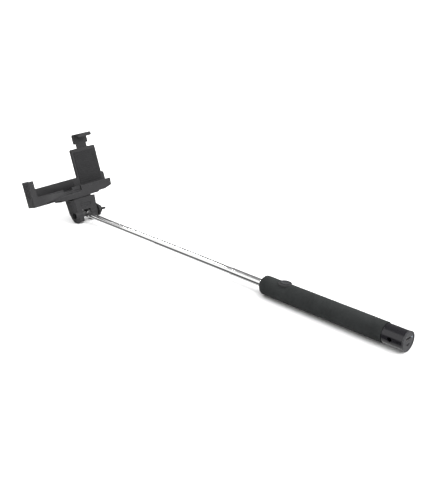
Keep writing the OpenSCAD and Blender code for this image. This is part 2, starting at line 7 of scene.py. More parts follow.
import json
import logging
import math
from collections.abc import Callable, Iterator, Sequence
from contextlib import contextmanager
from dataclasses import dataclass, field
from enum import Enum
from itertools import pairwise

import bmesh
import bpy
from mathutils import Matrix, Vector


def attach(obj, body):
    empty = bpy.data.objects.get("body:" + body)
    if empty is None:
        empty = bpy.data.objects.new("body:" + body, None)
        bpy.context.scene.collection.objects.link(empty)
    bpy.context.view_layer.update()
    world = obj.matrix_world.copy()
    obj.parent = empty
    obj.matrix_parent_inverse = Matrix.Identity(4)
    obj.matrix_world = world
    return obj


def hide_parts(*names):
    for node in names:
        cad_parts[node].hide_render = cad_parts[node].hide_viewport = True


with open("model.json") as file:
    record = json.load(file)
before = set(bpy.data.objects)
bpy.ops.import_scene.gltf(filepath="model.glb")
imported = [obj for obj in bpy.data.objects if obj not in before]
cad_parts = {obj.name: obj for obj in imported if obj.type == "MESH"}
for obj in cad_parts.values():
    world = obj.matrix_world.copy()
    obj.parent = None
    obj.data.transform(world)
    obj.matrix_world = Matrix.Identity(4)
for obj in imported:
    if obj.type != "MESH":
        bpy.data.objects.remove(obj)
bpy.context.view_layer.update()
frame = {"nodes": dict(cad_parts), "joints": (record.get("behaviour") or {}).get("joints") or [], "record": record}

LOG = logging.getLogger("selfie_stick")
MM = 0.001
TURN = math.tau
Object = bpy.types.Object
Point = tuple[float, float, float]
Flat = tuple[float, float]
Test = Callable[[Vector, Vector], bool]


# ---- Frames to model in ----


class Axis(Enum):
    """A direction of the bench frame, with the way a flat outline lies across it."""

    X = (1.0, 0.0, 0.0)
    Y = (0.0, 1.0, 0.0)
    Z = (0.0, 0.0, 1.0)

    def lift(self, a: float, b: float, along: float) -> Point:
        """Gives the point whose outline coordinates are a and b, at a distance along the axis."""
        if self is Axis.X:
            return (along, a, b)
        if self is Axis.Y:
            return (a, along, b)
        return (a, b, along)


@dataclass(frozen=True)
class Box:
    """Lowest and highest corner of something, in millimetres about a datum."""

    low: Vector
    high: Vector

    @property
    def middle(self) -> Vector:
        """Centre of the box."""
        return (self.low + self.high) / 2

    @property
    def size(self) -> Vector:
        """Length of each side."""
        return self.high - self.low


@dataclass(frozen=True)
class Datum:
    """A frame in millimetres to model in: where its origin is and how far it leans back."""

    origin: Vector
    lean: float = 0.0

    def matrix(self) -> Matrix:
        """Takes a point in millimetres about this datum to the row frame in metres."""
        turn = Matrix.Rotation(-self.lean, 4, "X")
        return Matrix.Translation(self.origin) @ turn @ Matrix.Scale(MM, 4)

    def box(self, *nodes: str) -> Box:
        """Measures CAD nodes along the axes of this datum.

        Args:
            nodes: names of the CAD nodes to take together.

        Returns:
            The box around all of them.
        """
        back = self.matrix().inverted()
        points = [back @ v.co for node in nodes for v in frame["nodes"][node].data.vertices]
        low = Vector(min(p[i] for p in points) for i in range(3))
        high = Vector(max(p[i] for p in points) for i in range(3))
        return Box(low, high)


def joint(name: str) -> dict:
    """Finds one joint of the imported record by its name."""
    return next(j for j in frame["joints"] if j["name"] == name)


def stick_datum() -> Datum:
    """Frame at the tilt bolt with Y along the stick, the handle towards -Y."""
    return Datum(Vector(joint("head_tilt")["pos_m"]))


def head_datum() -> Datum:
    """Frame at the middle of the head that leans back with the phone clamp."""
    swivel = joint("clamp_swivel")
    up = Vector(swivel["axis"])
    return Datum(Vector(swivel["pos_m"]), math.atan2(up.y, up.z))


# ---- Bench: modelling moves ----


def deselect() -> None:
    """Goes back to object mode and deselects every object."""
    active = bpy.context.view_layer.objects.active
    if active is not None and active.mode != "OBJECT":
        bpy.ops.object.mode_set(mode="OBJECT")
    bpy.ops.object.select_all(action="DESELECT")


def activate(piece: Object) -> None:
    """Makes a piece the only selected object and the active one."""
    deselect()
    piece.select_set(True)
    bpy.context.view_layer.objects.active = piece


@contextmanager
def editing(piece: Object, kind: str = "FACE") -> Iterator[None]:
    """Opens a piece in edit mode with nothing selected.

    Args:
        piece: the piece to edit.
        kind: what is selected in it, VERT, EDGE or FACE.
    """
    activate(piece)
    bpy.ops.object.mode_set(mode="EDIT")
    bpy.ops.mesh.select_mode(type=kind)
    bpy.ops.mesh.select_all(action="DESELECT")
    yield
    bpy.ops.object.mode_set(mode="OBJECT")


def pick(piece: Object, kind: str, test: Test) -> int:
    """Selects what passes a test in the mesh being edited.

    Args:
        piece: the piece in edit mode.
        kind: VERT, EDGE or FACE.
        test: takes the middle of an item and its direction, which is the normal of a face or a
            vertex and the unit direction of an edge.

    Returns:
        How many items were selected.
    """
    mesh = bmesh.from_edit_mesh(piece.data)
    if kind == "EDGE":
        facts = [
            (edge, (edge.verts[0].co + edge.verts[1].co) / 2,
             (edge.verts[1].co - edge.verts[0].co).normalized())
            for edge in mesh.edges
        ]
    elif kind == "FACE":
        facts = [(face, face.calc_center_median(), face.normal) for face in mesh.faces]
    else:
        facts = [(vert, vert.co, vert.normal) for vert in mesh.verts]
    chosen = [item for item, middle, way in facts if test(middle, way)]
    for item in chosen:
        item.select_set(True)
    mesh.select_flush_mode()
    bmesh.update_edit_mesh(piece.data)
    if not chosen:
        LOG.warning("nothing picked on %s", piece.name)
    return len(chosen)


def block(name: str, low: Point, high: Point) -> Object:
    """Adds a cube at its size and place.

    Args:
        name: name of the new object.
        low: lowest corner.
        high: highest corner.

    Returns:
        The cube, with its place in its mesh.
    """
    deselect()
    middle = [(a + b) / 2 for a, b in zip(low, high)]
    size = [b - a for a, b in zip(low, high)]
    bpy.ops.mesh.primitive_cube_add(size=1, location=middle, scale=size)
    piece = bpy.context.object
    piece.name = name
    bpy.ops.object.transform_apply(location=True, rotation=True, scale=True)
    return piece


def chain(name: str, points: Sequence[Point]) -> Object:
    """Draws a line of edges: a plane is merged to one point and extruded from point to point.

    Args:
        name: name of the new object.
        points: where the line goes.

    Returns:
        The line as an object without faces.
    """
    deselect()
    bpy.ops.mesh.primitive_plane_add(size=1, location=(0, 0, 0))
    piece = bpy.context.object
    piece.name = name
    with editing(piece, "VERT"):
        bpy.ops.mesh.select_all(action="SELECT")
        bpy.ops.mesh.merge(type="CENTER")
        bpy.ops.transform.translate(value=points[0])
        for here, there in pairwise(points):
            step = Vector(there) - Vector(here)
            bpy.ops.mesh.extrude_region_move(TRANSFORM_OT_translate={"value": step})
    return piece


def slab(name: str, outline: Sequence[Flat], axis: Axis, low: float, high: float) -> Object:
    """Extrudes a flat outline along an axis.

    Args:
        name: name of the new object.
        outline: corners of the outline, in the two other directions.
        axis: the direction it is extruded along.
        low: where it starts on the axis.
        high: where it ends on the axis.

    Returns:
        The closed solid.
    """
    corners = [axis.lift(a, b, low) for a, b in outline]
    piece = chain(name, [*corners, corners[0]])
    with editing(piece, "VERT"):
        bpy.ops.mesh.select_all(action="SELECT")
        bpy.ops.mesh.remove_doubles(threshold=1e-4)
        bpy.ops.mesh.edge_face_add()
        way = Vector(axis.value) * (high - low)
        bpy.ops.mesh.extrude_region_move(TRANSFORM_OT_translate={"value": way})
        bpy.ops.mesh.select_all(action="SELECT")
        bpy.ops.mesh.normals_make_consistent(inside=False)
    return piece


def lathe(
    name: str, profile: Sequence[Flat], axis: Axis, centre: Point = (0, 0, 0), steps: int = 64
) -> Object:
    """Spins a profile round an axis.

    Args:
        name: name of the new object.
        profile: distance along the axis and radius of each point. It closes on itself or on the axis.
        axis: the direction of the axis.
        centre: a point on the axis, from which the profile's distances are measured.
        steps: how many faces go round.

    Returns:
        The closed solid.
    """
    side = Vector(Axis.Z.value if axis is not Axis.Z else Axis.X.value)
    way = Vector(axis.value)
    points = [tuple(Vector(centre) + way * along + side * radius) for along, radius in profile]
    piece = chain(name, points)
    with editing(piece, "VERT"):
        bpy.ops.mesh.select_all(action="SELECT")
        bpy.ops.mesh.spin(steps=steps, angle=TURN, center=centre, axis=axis.value)
        bpy.ops.mesh.select_all(action="SELECT")
        bpy.ops.mesh.remove_doubles(threshold=1e-4)
        bpy.ops.mesh.normals_make_consistent(inside=False)
    return piece


def rod(name: str, axis: Axis, low: float, high: float, radius: float, centre: Point = (0, 0, 0),
        edge: float = 0.0, steps: int = 64) -> Object:
    """Turns a rod with rounded ends.

    Args:
        name: name of the new object.
        axis: the direction it lies along.
        low: where it starts on the axis.
        high: where it ends on the axis.
        radius: its radius.
        centre: a point on its axis.
        edge: radius of the rounding at its ends, or 0 for sharp ends.
        steps: how many faces go round.

    Returns:
        The closed solid.
    """
    end = quarter(edge, 4) if edge else [(0.0, 0.0)]
    start = [(low + edge - a, radius - edge + b) for a, b in reversed(end)]
    finish = [(high - edge + a, radius - edge + b) for a, b in end]
    return lathe(name, [(low, 0), *start, *finish, (high, 0)], axis, centre, steps)


def quarter(radius: float, steps: int) -> list[Flat]:
    """Points of a quarter circle from straight across to straight along, as along and across."""
    return [
        (radius * math.sin(TURN / 4 * i / steps), radius * math.cos(TURN / 4 * i / steps))
        for i in range(steps + 1)
    ]


def oval(length: float, width: float, centre: Flat = (0, 0), steps: int = 12) -> list[Flat]:
    """Outline with round ends, long in its second direction."""
    straight = (length - width) / 2
    turn = [TURN / 2 * i / steps for i in range(steps + 1)]
    upper = [(math.cos(a) * width / 2, straight + math.sin(a) * width / 2) for a in turn]
    return [(centre[0] + s * a, centre[1] + s * b) for s in (1, -1) for a, b in upper]


def modify(piece: Object, kind: str, **settings: object) -> None:
    """Adds a modifier to a piece and applies it.

    Args:
        piece: the piece to change.
        kind: Blender's name of the modifier.
        settings: values of the modifier.
    """
    activate(piece)
    modifier = piece.modifiers.new(kind.lower(), kind)
    for key, value in settings.items():
        setattr(modifier, key, value)
    bpy.ops.object.modifier_apply(modifier=modifier.name)


def combine(piece: Object, others: Sequence[Object], how: str) -> Object:
    """Joins solids to a piece or cuts them from it, and removes them."""
    for other in others:
        modify(piece, "BOOLEAN", operation=how, object=other, solver="EXACT")
        bpy.data.objects.remove(other, do_unlink=True)
    return piece


def fuse(piece: Object, *others: Object) -> Object:
    """Makes one solid of a piece and others that meet it."""
    return combine(piece, others, "UNION")


def cut(piece: Object, *tools: Object) -> Object:
    """Cuts solids out of a piece."""
    return combine(piece, tools, "DIFFERENCE")


def keep_common(piece: Object, *others: Object) -> Object:
    """Keeps only what a piece shares with other solids."""
    return combine(piece, others, "INTERSECT")


def bevel_edges(piece: Object, test: Test, width: float, segments: int = 3) -> Object:
    """Rounds the edges that pass a test, or chamfers them with one segment."""
    with editing(piece, "EDGE"):
        pick(piece, "EDGE", test)
        bpy.ops.mesh.bevel(
            offset=width, segments=segments, profile=0.5, affect="EDGES", clamp_overlap=True
        )
    return piece


def sink_faces(piece: Object, test: Test, rim: float, depth: float) -> Object:
    """Insets the faces that pass a test and moves them inwards, leaving a rim round them."""
    with editing(piece, "FACE"):
        pick(piece, "FACE", test)
        bpy.ops.mesh.inset(thickness=rim, depth=0)
        bpy.ops.mesh.inset(thickness=0.04, depth=-depth)
    return piece


def soften(piece: Object, width: float, angle: float = 40.0, segments: int = 3) -> Object:
    """Rounds every edge sharper than an angle, and shades the piece smooth.

    Args:
        piece: the piece to finish.
        width: width of the rounding.
        angle: smallest angle in degrees between faces that gets rounded.
        segments: how many strips make the rounding.

    Returns:
        The same piece.
    """
    with editing(piece, "VERT"):
        bpy.ops.mesh.select_all(action="SELECT")
        bpy.ops.mesh.remove_doubles(threshold=2e-3)
        bpy.ops.mesh.dissolve_limited(angle_limit=math.radians(0.5))
        bpy.ops.mesh.normals_make_consistent(inside=False)
    modify(
        piece, "BEVEL", width=width, segments=segments, limit_method="ANGLE",
        angle_limit=math.radians(angle), use_clamp_overlap=True, miter_outer="MITER_ARC",
    )
    return smooth(piece)


def smooth(piece: Object, angle: float = 32.0) -> Object:
    """Shades a piece smooth up to an angle in degrees, weighted by the size of its faces."""
    activate(piece)
    bpy.ops.object.shade_smooth_by_angle(angle=math.radians(angle))
    modify(piece, "WEIGHTED_NORMAL", keep_sharp=True, weight=80)
    return piece


def repeat(name: str, first: Object, steps: Sequence[Point]) -> list[Object]:
    """Copies a piece to other places, each copy with its own mesh.

    Args:
        name: name of the copies, which get a number.
        first: the piece to copy, which stays where it is.
        steps: how far each copy is moved.

    Returns:
        The first piece and its copies.
    """
    pieces = [first]
    for number, step in enumerate(steps):
        activate(first)
        bpy.ops.object.duplicate(linked=False)
        twin = bpy.context.object
        twin.name = f"{name}_{number}"
        twin.location = step
        bpy.ops.object.transform_apply(location=True, rotation=False, scale=False)
        pieces.append(twin)
    return pieces


def turned(first: Object, angle: float) -> Object:
    """Copies a piece and turns the copy about the X axis by an angle in radians."""
    activate(first)
    bpy.ops.object.duplicate(linked=False)
    twin = bpy.context.object
    twin.rotation_euler = (angle, 0, 0)
    bpy.ops.object.transform_apply(location=False, rotation=True, scale=False)
    return twin


def gather(name: str, pieces: Sequence[Object]) -> Object:
    """Joins separate meshes into one object."""
    deselect()
    for piece in pieces:
        piece.select_set(True)
    bpy.context.view_layer.objects.active = pieces[0]
    bpy.ops.object.join()
    pieces[0].name = name
    return pieces[0]


# ---- Materials ----


class Graph:
    """Short calls for adding and linking the nodes of one node tree."""

    def __init__(self, tree: bpy.types.NodeTree) -> None:
        """Starts with the given node tree."""
        self.tree = tree

    def add(self, kind: str, inputs: dict | None = None, **settings: object) -> bpy.types.Node:
        """Adds a node.

        Args:
            kind: Blender's name of the node's type, without its first words.
            inputs: a value or another node's socket for each input, by name or number.
            settings: the node's own settings.

        Returns:
            The new node.
        """
        node = self.tree.nodes.new("ShaderNode" + kind)
        for key, value in settings.items():
            setattr(node, key, value)
        for key, value in (inputs or {}).items():
            if isinstance(value, bpy.types.NodeSocket):
                self.tree.links.new(value, node.inputs[key])
            else:
                node.inputs[key].default_value = value
        return node

    def math(self, operation: str, a: object, b: object = 0.0) -> bpy.types.NodeSocket:
        """Adds a math node and returns its result."""
        return self.add("Math", {0: a, 1: b}, operation=operation).outputs[0]

    def range(self, value: object, low: float, high: float, to_low: object = 0.0,
              to_high: object = 1.0) -> bpy.types.NodeSocket:
        """Maps a value from one range to another, kept within it, and returns it."""
        inputs = {"Value": value, "From Min": low, "From Max": high, "To Min": to_low,
                  "To Max": to_high}
        return self.add("MapRange", inputs).outputs["Result"]

    def mix(self, factor: object, a: object, b: object) -> bpy.types.NodeSocket:
        """Mixes two colours and returns the result."""
        node = self.add("Mix", data_type="RGBA", clamp_factor=True)
        for key, value in (("Factor_Float", factor), ("A_Color", a), ("B_Color", b)):
            socket = next(s for s in node.inputs if s.identifier == key)
            if isinstance(value, bpy.types.NodeSocket):
                self.tree.links.new(value, socket)
            else:
                socket.default_value = value
        return next(s for s in node.outputs if s.identifier == "Result_Color")

    def place(self, scale: Point | float) -> bpy.types.NodeSocket:
        """Gives the place on the object in metres, scaled."""
        where = self.add("TexCoord").outputs["Object"]
        size = (scale,) * 3 if isinstance(scale, (int, float)) else scale
        return self.add("Mapping", {"Vector": where, "Scale": size}).outputs["Vector"]

    def noise(self, where: object, scale: object, detail: float = 3.0,
              roughness: float = 0.5) -> bpy.types.NodeSocket:
        """Adds a noise texture and returns its value."""
        inputs = {"Vector": where, "Scale": scale, "Detail": detail, "Roughness": roughness}
        return self.add("TexNoise", inputs).outputs["Fac"]


class Effects:
    """Shader node groups that several finishes share, each built the first time it is used."""

    def __init__(self) -> None:
        """Starts with no groups."""
        self.groups: dict[str, bpy.types.NodeTree] = {}

    def group(self, name: str, inputs: dict[str, float], outputs: Sequence[str],
              build: Callable[[Graph, object, object], None]) -> bpy.types.NodeTree:
        """Makes a node group with number sockets, or finds it.

        Args:
            name: name of the group.
            inputs: each input's name and default value.
            outputs: each output's name.
            build: fills the group, given its graph, its input node and its output node.

        Returns:
            The node group.
        """
        if name not in self.groups:
            tree = bpy.data.node_groups.new(name, "ShaderNodeTree")
            for key, value in inputs.items():
                socket = tree.interface.new_socket(key, in_out="INPUT", socket_type="NodeSocketFloat")
                socket.default_value = value
            for key in outputs:
                tree.interface.new_socket(key, in_out="OUTPUT", socket_type="NodeSocketFloat")
            source = tree.nodes.new("NodeGroupInput")
            target = tree.nodes.new("NodeGroupOutput")
            build(Graph(tree), source, target)
            self.groups[name] = tree
        return self.groups[name]

    def grain(self) -> bpy.types.NodeTree:
        """Moulded grain: fine noise over small cells, as a height."""

        def build(graph: Graph, source: bpy.types.Node, target: bpy.types.Node) -> None:
            where = graph.place(1.0)
            noise = graph.noise(where, source.outputs["Scale"], 2.0, 0.6)
            cells = graph.add("TexVoronoi", {"Vector": where, "Scale": source.outputs["Scale"]})
            dents = graph.range(cells.outputs["Distance"], 0.0, 0.7)
            share = source.outputs["Cells"]
            flat = graph.math("MULTIPLY", noise, graph.math("SUBTRACT", 1.0, share))
            height = graph.math("ADD", flat, graph.math("MULTIPLY", dents, share))
            graph.tree.links.new(height, target.inputs["Height"])

        return self.group("fine_grain", {"Scale": 3000.0, "Cells": 0.3}, ["Height"], build)

    def edge_wear(self) -> bpy.types.NodeTree:
        """Broken mask along outer edges, where hands and tables rub."""

        def build(graph: Graph, source: bpy.types.Node, target: bpy.types.Node) -> None:
            bent = graph.add("Bevel", {"Radius": source.outputs["Radius"]}, samples=4)
            true = graph.add("NewGeometry").outputs["Normal"]
            both = graph.add("VectorMath", {0: bent.outputs[0], 1: true}, operation="DOT_PRODUCT")
            edge = graph.range(both.outputs["Value"], 0.995, 0.93)
            patchy = graph.range(graph.noise(graph.place(1.0), 700.0, 4.0, 0.7), 0.42, 0.66)
            graph.tree.links.new(graph.math("MULTIPLY", edge, patchy), target.inputs["Mask"])

        return self.group("edge_wear", {"Radius": 0.0004}, ["Mask"], build)

    def handling(self) -> bpy.types.NodeTree:
        """Slow drift of tone and gloss, and a little dust that lies on upward faces."""

        def build(graph: Graph, source: bpy.types.Node, target: bpy.types.Node) -> None:
            where = graph.place(1.0)
            tone = graph.noise(where, source.outputs["Scale"], 4.0, 0.6)
            gloss = graph.noise(where, graph.math("MULTIPLY", source.outputs["Scale"], 2.7), 3.0)
            up = graph.add("SeparateXYZ", {0: graph.add("NewGeometry").outputs["Normal"]})
            specks = graph.range(graph.noise(where, 2600.0, 2.0, 0.8), 0.62, 0.72)
            dust = graph.math("MULTIPLY", specks, graph.range(up.outputs["Z"], 0.3, 1.0))
            for name, value in (("Tone", tone), ("Gloss", gloss), ("Dust", dust)):
                graph.tree.links.new(value, target.inputs[name])

        return self.group("handling", {"Scale": 60.0}, ["Tone", "Gloss", "Dust"], build)

    def drawn_lines(self) -> bpy.types.NodeTree:
        """Fine lines along the stick, left by drawing or brushing."""

        def build(graph: Graph, source: bpy.types.Node, target: bpy.types.Node) -> None:
            where = graph.place((1.0, 0.012, 1.0))
            lines = graph.noise(where, source.outputs["Scale"], 3.0, 0.7)
            graph.tree.links.new(lines, target.inputs["Lines"])

        return self.group("drawn_lines", {"Scale": 5000.0}, ["Lines"], build)


@dataclass(frozen=True)
class Finish:
    """A moulded or painted surface. Distances are in metres, scales in features per metre."""

    slot: str
    colour: Point
    roughness: float
    metallic: float = 0.0
    specular: float = 0.5
    coat: float = 0.0
    grain_scale: float = 3200.0
    grain_cells: float = 0.3
    grain_depth: float = 0.00003
    tone: float = 0.12
    gloss: float = 0.08
    wear: float = 0.25
    wear_colour: Point = (0.22, 0.22, 0.23)
    dust: float = 0.05

    def height(self, graph: Graph, effects: Effects) -> bpy.types.NodeSocket:
        """Height of the fine relief."""
        inputs = {"Scale": self.grain_scale, "Cells": self.grain_cells}
        return self.grouped(graph, effects.grain(), inputs).outputs["Height"]

    def grouped(self, graph: Graph, tree: bpy.types.NodeTree, inputs: dict) -> bpy.types.Node:
        """Places a shared node group with its own values."""
        node = graph.add("Group", node_tree=tree)
        for key, value in inputs.items():
            node.inputs[key].default_value = value
        return node

    def colouring(self, graph: Graph, effects: Effects, handled: bpy.types.Node) -> bpy.types.NodeSocket:
        """Colour with its drift of tone, worn edges and dust."""
        dark = (*(c * (1 - self.tone) for c in self.colour), 1.0)
        light = (*(c * (1 + self.tone) for c in self.colour), 1.0)
        drift = graph.range(handled.outputs["Tone"], 0.3, 0.7)
        colour = graph.mix(drift, dark, light)
        worn = self.grouped(graph, effects.edge_wear(), {"Radius": 0.0004}).outputs["Mask"]
        colour = graph.mix(graph.math("MULTIPLY", worn, self.wear), colour, (*self.wear_colour, 1.0))
        dusty = graph.math("MULTIPLY", handled.outputs["Dust"], self.dust)
        return graph.mix(dusty, colour, (0.45, 0.44, 0.42, 1.0))

    def build(self, effects: Effects) -> bpy.types.Material:
        """Makes the material.

        Args:
            effects: the node groups shared by all finishes.

        Returns:
            The finished material, named after its slot.
        """
        material = bpy.data.materials.new("finish_" + self.slot)
        material.use_nodes = True
        material.node_tree.nodes.clear()
        graph = Graph(material.node_tree)
        handled = self.grouped(graph, effects.handling(), {"Scale": 60.0})
        low, high = self.roughness - self.gloss, self.roughness + self.gloss
        rough = graph.range(handled.outputs["Gloss"], 0.3, 0.7, max(low, 0.02), min(high, 1.0))
        bump = graph.add("Bump", {
            "Height": self.height(graph, effects), "Distance": self.grain_depth, "Strength": 1.0,
        })
        shader = graph.add("BsdfPrincipled", {
            "Base Color": self.colouring(graph, effects, handled),
            "Roughness": rough, "Normal": bump.outputs["Normal"],
            "Metallic": self.metallic, "Specular IOR Level": self.specular,
            "Coat Weight": self.coat, "Coat Roughness": 0.04,
        })
        self.extra(graph, shader)
        graph.add("OutputMaterial", {"Surface": shader.outputs["BSDF"]})
        return material

    def extra(self, graph: Graph, shader: bpy.types.Node) -> None:
        """Leaves the shader as it is; other finishes add to it here."""


@dataclass(frozen=True)
class DrawnSteel(Finish):
    """Bright metal with fine lines along the stick."""

    line_scale: float = 5000.0

    def height(self, graph: Graph, effects: Effects) -> bpy.types.NodeSocket:
        """Height of the drawing lines."""
        return self.grouped(graph, effects.drawn_lines(), {"Scale": self.line_scale}).outputs["Lines"]


@dataclass(frozen=True)
class Foam(Finish):
    """Closed-cell foam: open pores over a soft uneven skin."""

    pore_scale: float = 1500.0

    def height(self, graph: Graph, effects: Effects) -> bpy.types.NodeSocket:
        """Height of the pores and of the soft skin between them."""
        where = graph.place(1.0)
        pores = graph.add("TexVoronoi", {"Vector": where, "Scale": self.pore_scale})
        deep = graph.range(pores.outputs["Distance"], 0.1, 0.55)
        fine = self.grouped(
            graph, effects.grain(), {"Scale": self.grain_scale, "Cells": self.grain_cells}
        ).outputs["Height"]
        return graph.math("ADD", graph.math("MULTIPLY", deep, 0.7), graph.math("MULTIPLY", fine, 0.5))


@dataclass(frozen=True)
class Board(Finish):
    """Solder resist with copper tracks showing through."""

    def colouring(self, graph: Graph, effects: Effects, handled: bpy.types.Node) -> bpy.types.NodeSocket:
        """Green with lighter tracks in straight runs."""
        colour = super().colouring(graph, effects, handled)
        bricks = graph.add("TexBrick", {"Vector": graph.place(900.0), "Scale": 1.0,
                                        "Mortar Size": 0.06, "Brick Width": 1.6, "Row Height": 0.7})
        return graph.mix(bricks.outputs["Fac"], colour, (0.06, 0.28, 0.12, 1.0))


FINISHES: tuple[Finish, ...] = (
    DrawnSteel("tube_steel", (0.86, 0.86, 0.86), 0.10, metallic=1.0, grain_depth=0.000003, tone=0.03,
               gloss=0.03, wear=0.05, dust=0.01, line_scale=6000.0),
    Finish("clamp_plastic", (0.030, 0.0295, 0.031), 0.50, specular=0.25, tone=0.12, wear=0.25),
    Finish("liner_plastic", (0.04, 0.04, 0.04), 0.4),
    Foam("foam", (0.026, 0.028, 0.028), 0.9, specular=0.15, grain_scale=5200.0, grain_cells=0.5,
         grain_depth=0.0001, tone=0.2, gloss=0.06, wear=0.08, dust=0.10),
    Finish("gloss_black", (0.012, 0.0115, 0.014), 0.09, grain_depth=0.000002, tone=0.1, gloss=0.03,
           wear=0.12, dust=0.03),
    Finish("plate_grey", (0.045, 0.045, 0.048), 0.36, specular=0.35, wear=0.4),
    Finish("button_grey", (0.040, 0.040, 0.043), 0.48, specular=0.3, grain_depth=0.00004),
    Finish("pad_rubber", (0.020, 0.020, 0.021), 0.75, specular=0.2, grain_scale=4200.0,
           grain_cells=0.6, grain_depth=0.00005, wear=0.1, dust=0.1),
    DrawnSteel("bright_steel", (0.62, 0.62, 0.63), 0.25, metallic=1.0, grain_depth=0.000005, tone=0.06,
               wear=0.1, dust=0.02, line_scale=3000.0),
    DrawnSteel("dark_steel", (0.045, 0.045, 0.05), 0.35, metallic=1.0, grain_depth=0.000005, tone=0.1,
               wear=0.35, dust=0.02, line_scale=3000.0),
    Finish("brass", (0.78, 0.60, 0.28), 0.28, metallic=1.0, grain_depth=0.000006, wear=0.1),
    Finish("nylon", (0.045, 0.045, 0.046), 0.5, wear=0.05),
    Board("board_green", (0.03, 0.16, 0.07), 0.3, coat=0.3, grain_depth=0.000008, wear=0.1),
    Finish("part_grey", (0.12, 0.12, 0.12), 0.45),
    Finish("cell_wrap", (0.55, 0.57, 0.60), 0.3, coat=0.4, grain_depth=0.00001),
    Finish("wire_red", (0.45, 0.05, 0.04), 0.4, grain_depth=0.00001),
    Finish("lamp", (0.55, 0.66, 0.80), 0.12, coat=0.8, grain_depth=0.000002, wear=0.0),
)


class Wardrobe:
    """Builds each finish once and dresses pieces in it."""

    def __init__(self) -> None:
        """Starts with every finish and no material."""
        self.effects = Effects()
        self.finishes = {finish.slot: finish for finish in FINISHES}
        self.materials: dict[str, bpy.types.Material] = {}

    def dress(self, piece: Object, slot: str) -> None:
        """Gives a piece the material of a slot, all over."""
        if slot not in self.materials:
            self.materials[slot] = self.finishes[slot].build(self.effects)
        if piece.material_slots:
            for material_slot in piece.material_slots:
                material_slot.material = self.materials[slot]
        else:
            piece.data.materials.append(self.materials[slot])

    def dress_frame(self) -> None:
        """Dresses every CAD node in the finish of its slot in the record."""
        for part in frame["record"]["subparts"]:
            self.dress(frame["nodes"][part["node"]], part["material_slot"])


@dataclass
class Assembly:
    """A group of pieces modelled about one datum."""

    datum: Datum
    wardrobe: Wardrobe

    def install(self, piece: Object, body: str, slot: str, *nodes: str) -> Object:
        """Puts a piece in place in the row frame, dresses it and hangs it on its body.

        Args:
            piece: the piece, modelled in millimetres about the datum.
            body: the CAD body that it rides on.
            slot: the material slot that it takes its finish from.
            nodes: the CAD nodes that it replaces.

        Returns:
            The piece in its place, with its object at the origin.
        """
        activate(piece)
        piece.matrix_world = self.datum.matrix()
        bpy.ops.object.transform_apply(location=True, rotation=True, scale=True)
        piece.data.materials.clear()
        self.wardrobe.dress(piece, slot)
        if nodes:
            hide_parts(*nodes)
        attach(piece, body)
        LOG.info("%s: %d faces, rides on %s", piece.name, len(piece.data.polygons), body)
        return piece


# ---- Pole ----


@dataclass
class Pole(Assembly):
    """Telescope sections with rolled front beads, and the tip pressed flat into an eye."""

    wall: float = 0.25
    bead: float = 0.22
    bead_length: float = 1.1
    eye_thickness: float = 3.0
    eye_straight: float = 6.8
    flare_end: float = 12.3
    hole_r: float = 2.05

    def section(self, number: int) -> None:
        """Turns one section: a thin wall whose front edge is rolled out into a bead."""
        box = self.datum.box(f"section_{number}_tube")
        front, back = box.high.y, box.low.y
        radius = box.size.x / 2 - self.bead
        inner = radius - self.wall
        roll = [
            (front - self.bead_length * (1 - math.cos(a)) / 2, radius + self.bead * math.sin(a))
            for a in (TURN / 2 * i / 8 for i in range(9))
        ]
        profile = [
            (back, inner), (front - 0.15, inner), (front, inner + 0.12), *roll,
            (back + 0.1, radius), (back, radius - 0.08), (back, inner),
        ]
        piece = smooth(lathe(f"pole_section_{number}", profile, Axis.Y, steps=72))
        body = f"section_{number}"
        self.install(piece, body, "tube_steel", f"section_{number}_tube")

    def tip(self) -> None:
        """Builds the thinnest section: a round tube that flows into the flat eye."""
        box = self.datum.box("section_1_tube")
        eye_r = box.high.y
        back = box.low.y
        outer = self.datum.box("section_2_tube").size.x / 2 - self.bead
        radius = outer - self.wall - 0.05
        inner = radius - self.wall
        rings = 10
        flare = [
            (-self.eye_straight - (self.flare_end - self.eye_straight) * i / rings, radius)
            for i in range(rings + 1)
        ]
        profile = [
            (-self.eye_straight + 1.5, 0), (-self.eye_straight + 1.5, radius), *flare,
            (back, radius), (back, inner), (-self.flare_end - 1, inner), (-self.flare_end - 1, 0),
        ]
        piece = lathe("pole_tip", profile, Axis.Y, steps=48)
        for along, _ in [profile[1], *flare]:
            past = (-self.eye_straight - along) / (self.flare_end - self.eye_straight)
            share = min(1.0, max(0.0, past))
            ease = share * share * (3 - 2 * share)
            flat = self.eye_thickness / 2 / radius
            tall = eye_r / radius
            with editing(piece, "VERT"):
                pick(piece, "VERT", lambda spot, _: abs(spot.y - along) < 0.02)
                size = (flat + (1 - flat) * ease, 1, tall + (1 - tall) * ease)
                bpy.ops.transform.resize(value=size, center_override=(0, along, 0))
        half = self.eye_thickness / 2
        turns = [TURN / 4 - TURN / 2 * i / 16 for i in range(17)]
        round_end = [(eye_r * math.cos(a), eye_r * math.sin(a)) for a in turns]
        outline = [(-self.eye_straight - 0.3, eye_r), *round_end, (-self.eye_straight - 0.3, -eye_r)]
        eye = slab("eye", outline, Axis.X, -half, half)
        bevel_edges(eye, lambda spot, way: abs(abs(spot.x) - half) < 0.01
                    and spot.y > -self.eye_straight, half * 0.85, 4)
        fuse(piece, eye)
        cut(piece, rod("hole", Axis.X, -5, 5, self.hole_r, steps=40))
        smooth(piece, 50)
        self.install(piece, "section_1", "tube_steel", "section_1_tube")

    def build(self) -> None:
        """Builds the five sections that slide."""
        for number in (5, 4, 3, 2):
            self.section(number)
        self.tip()


# ---- Handle ----


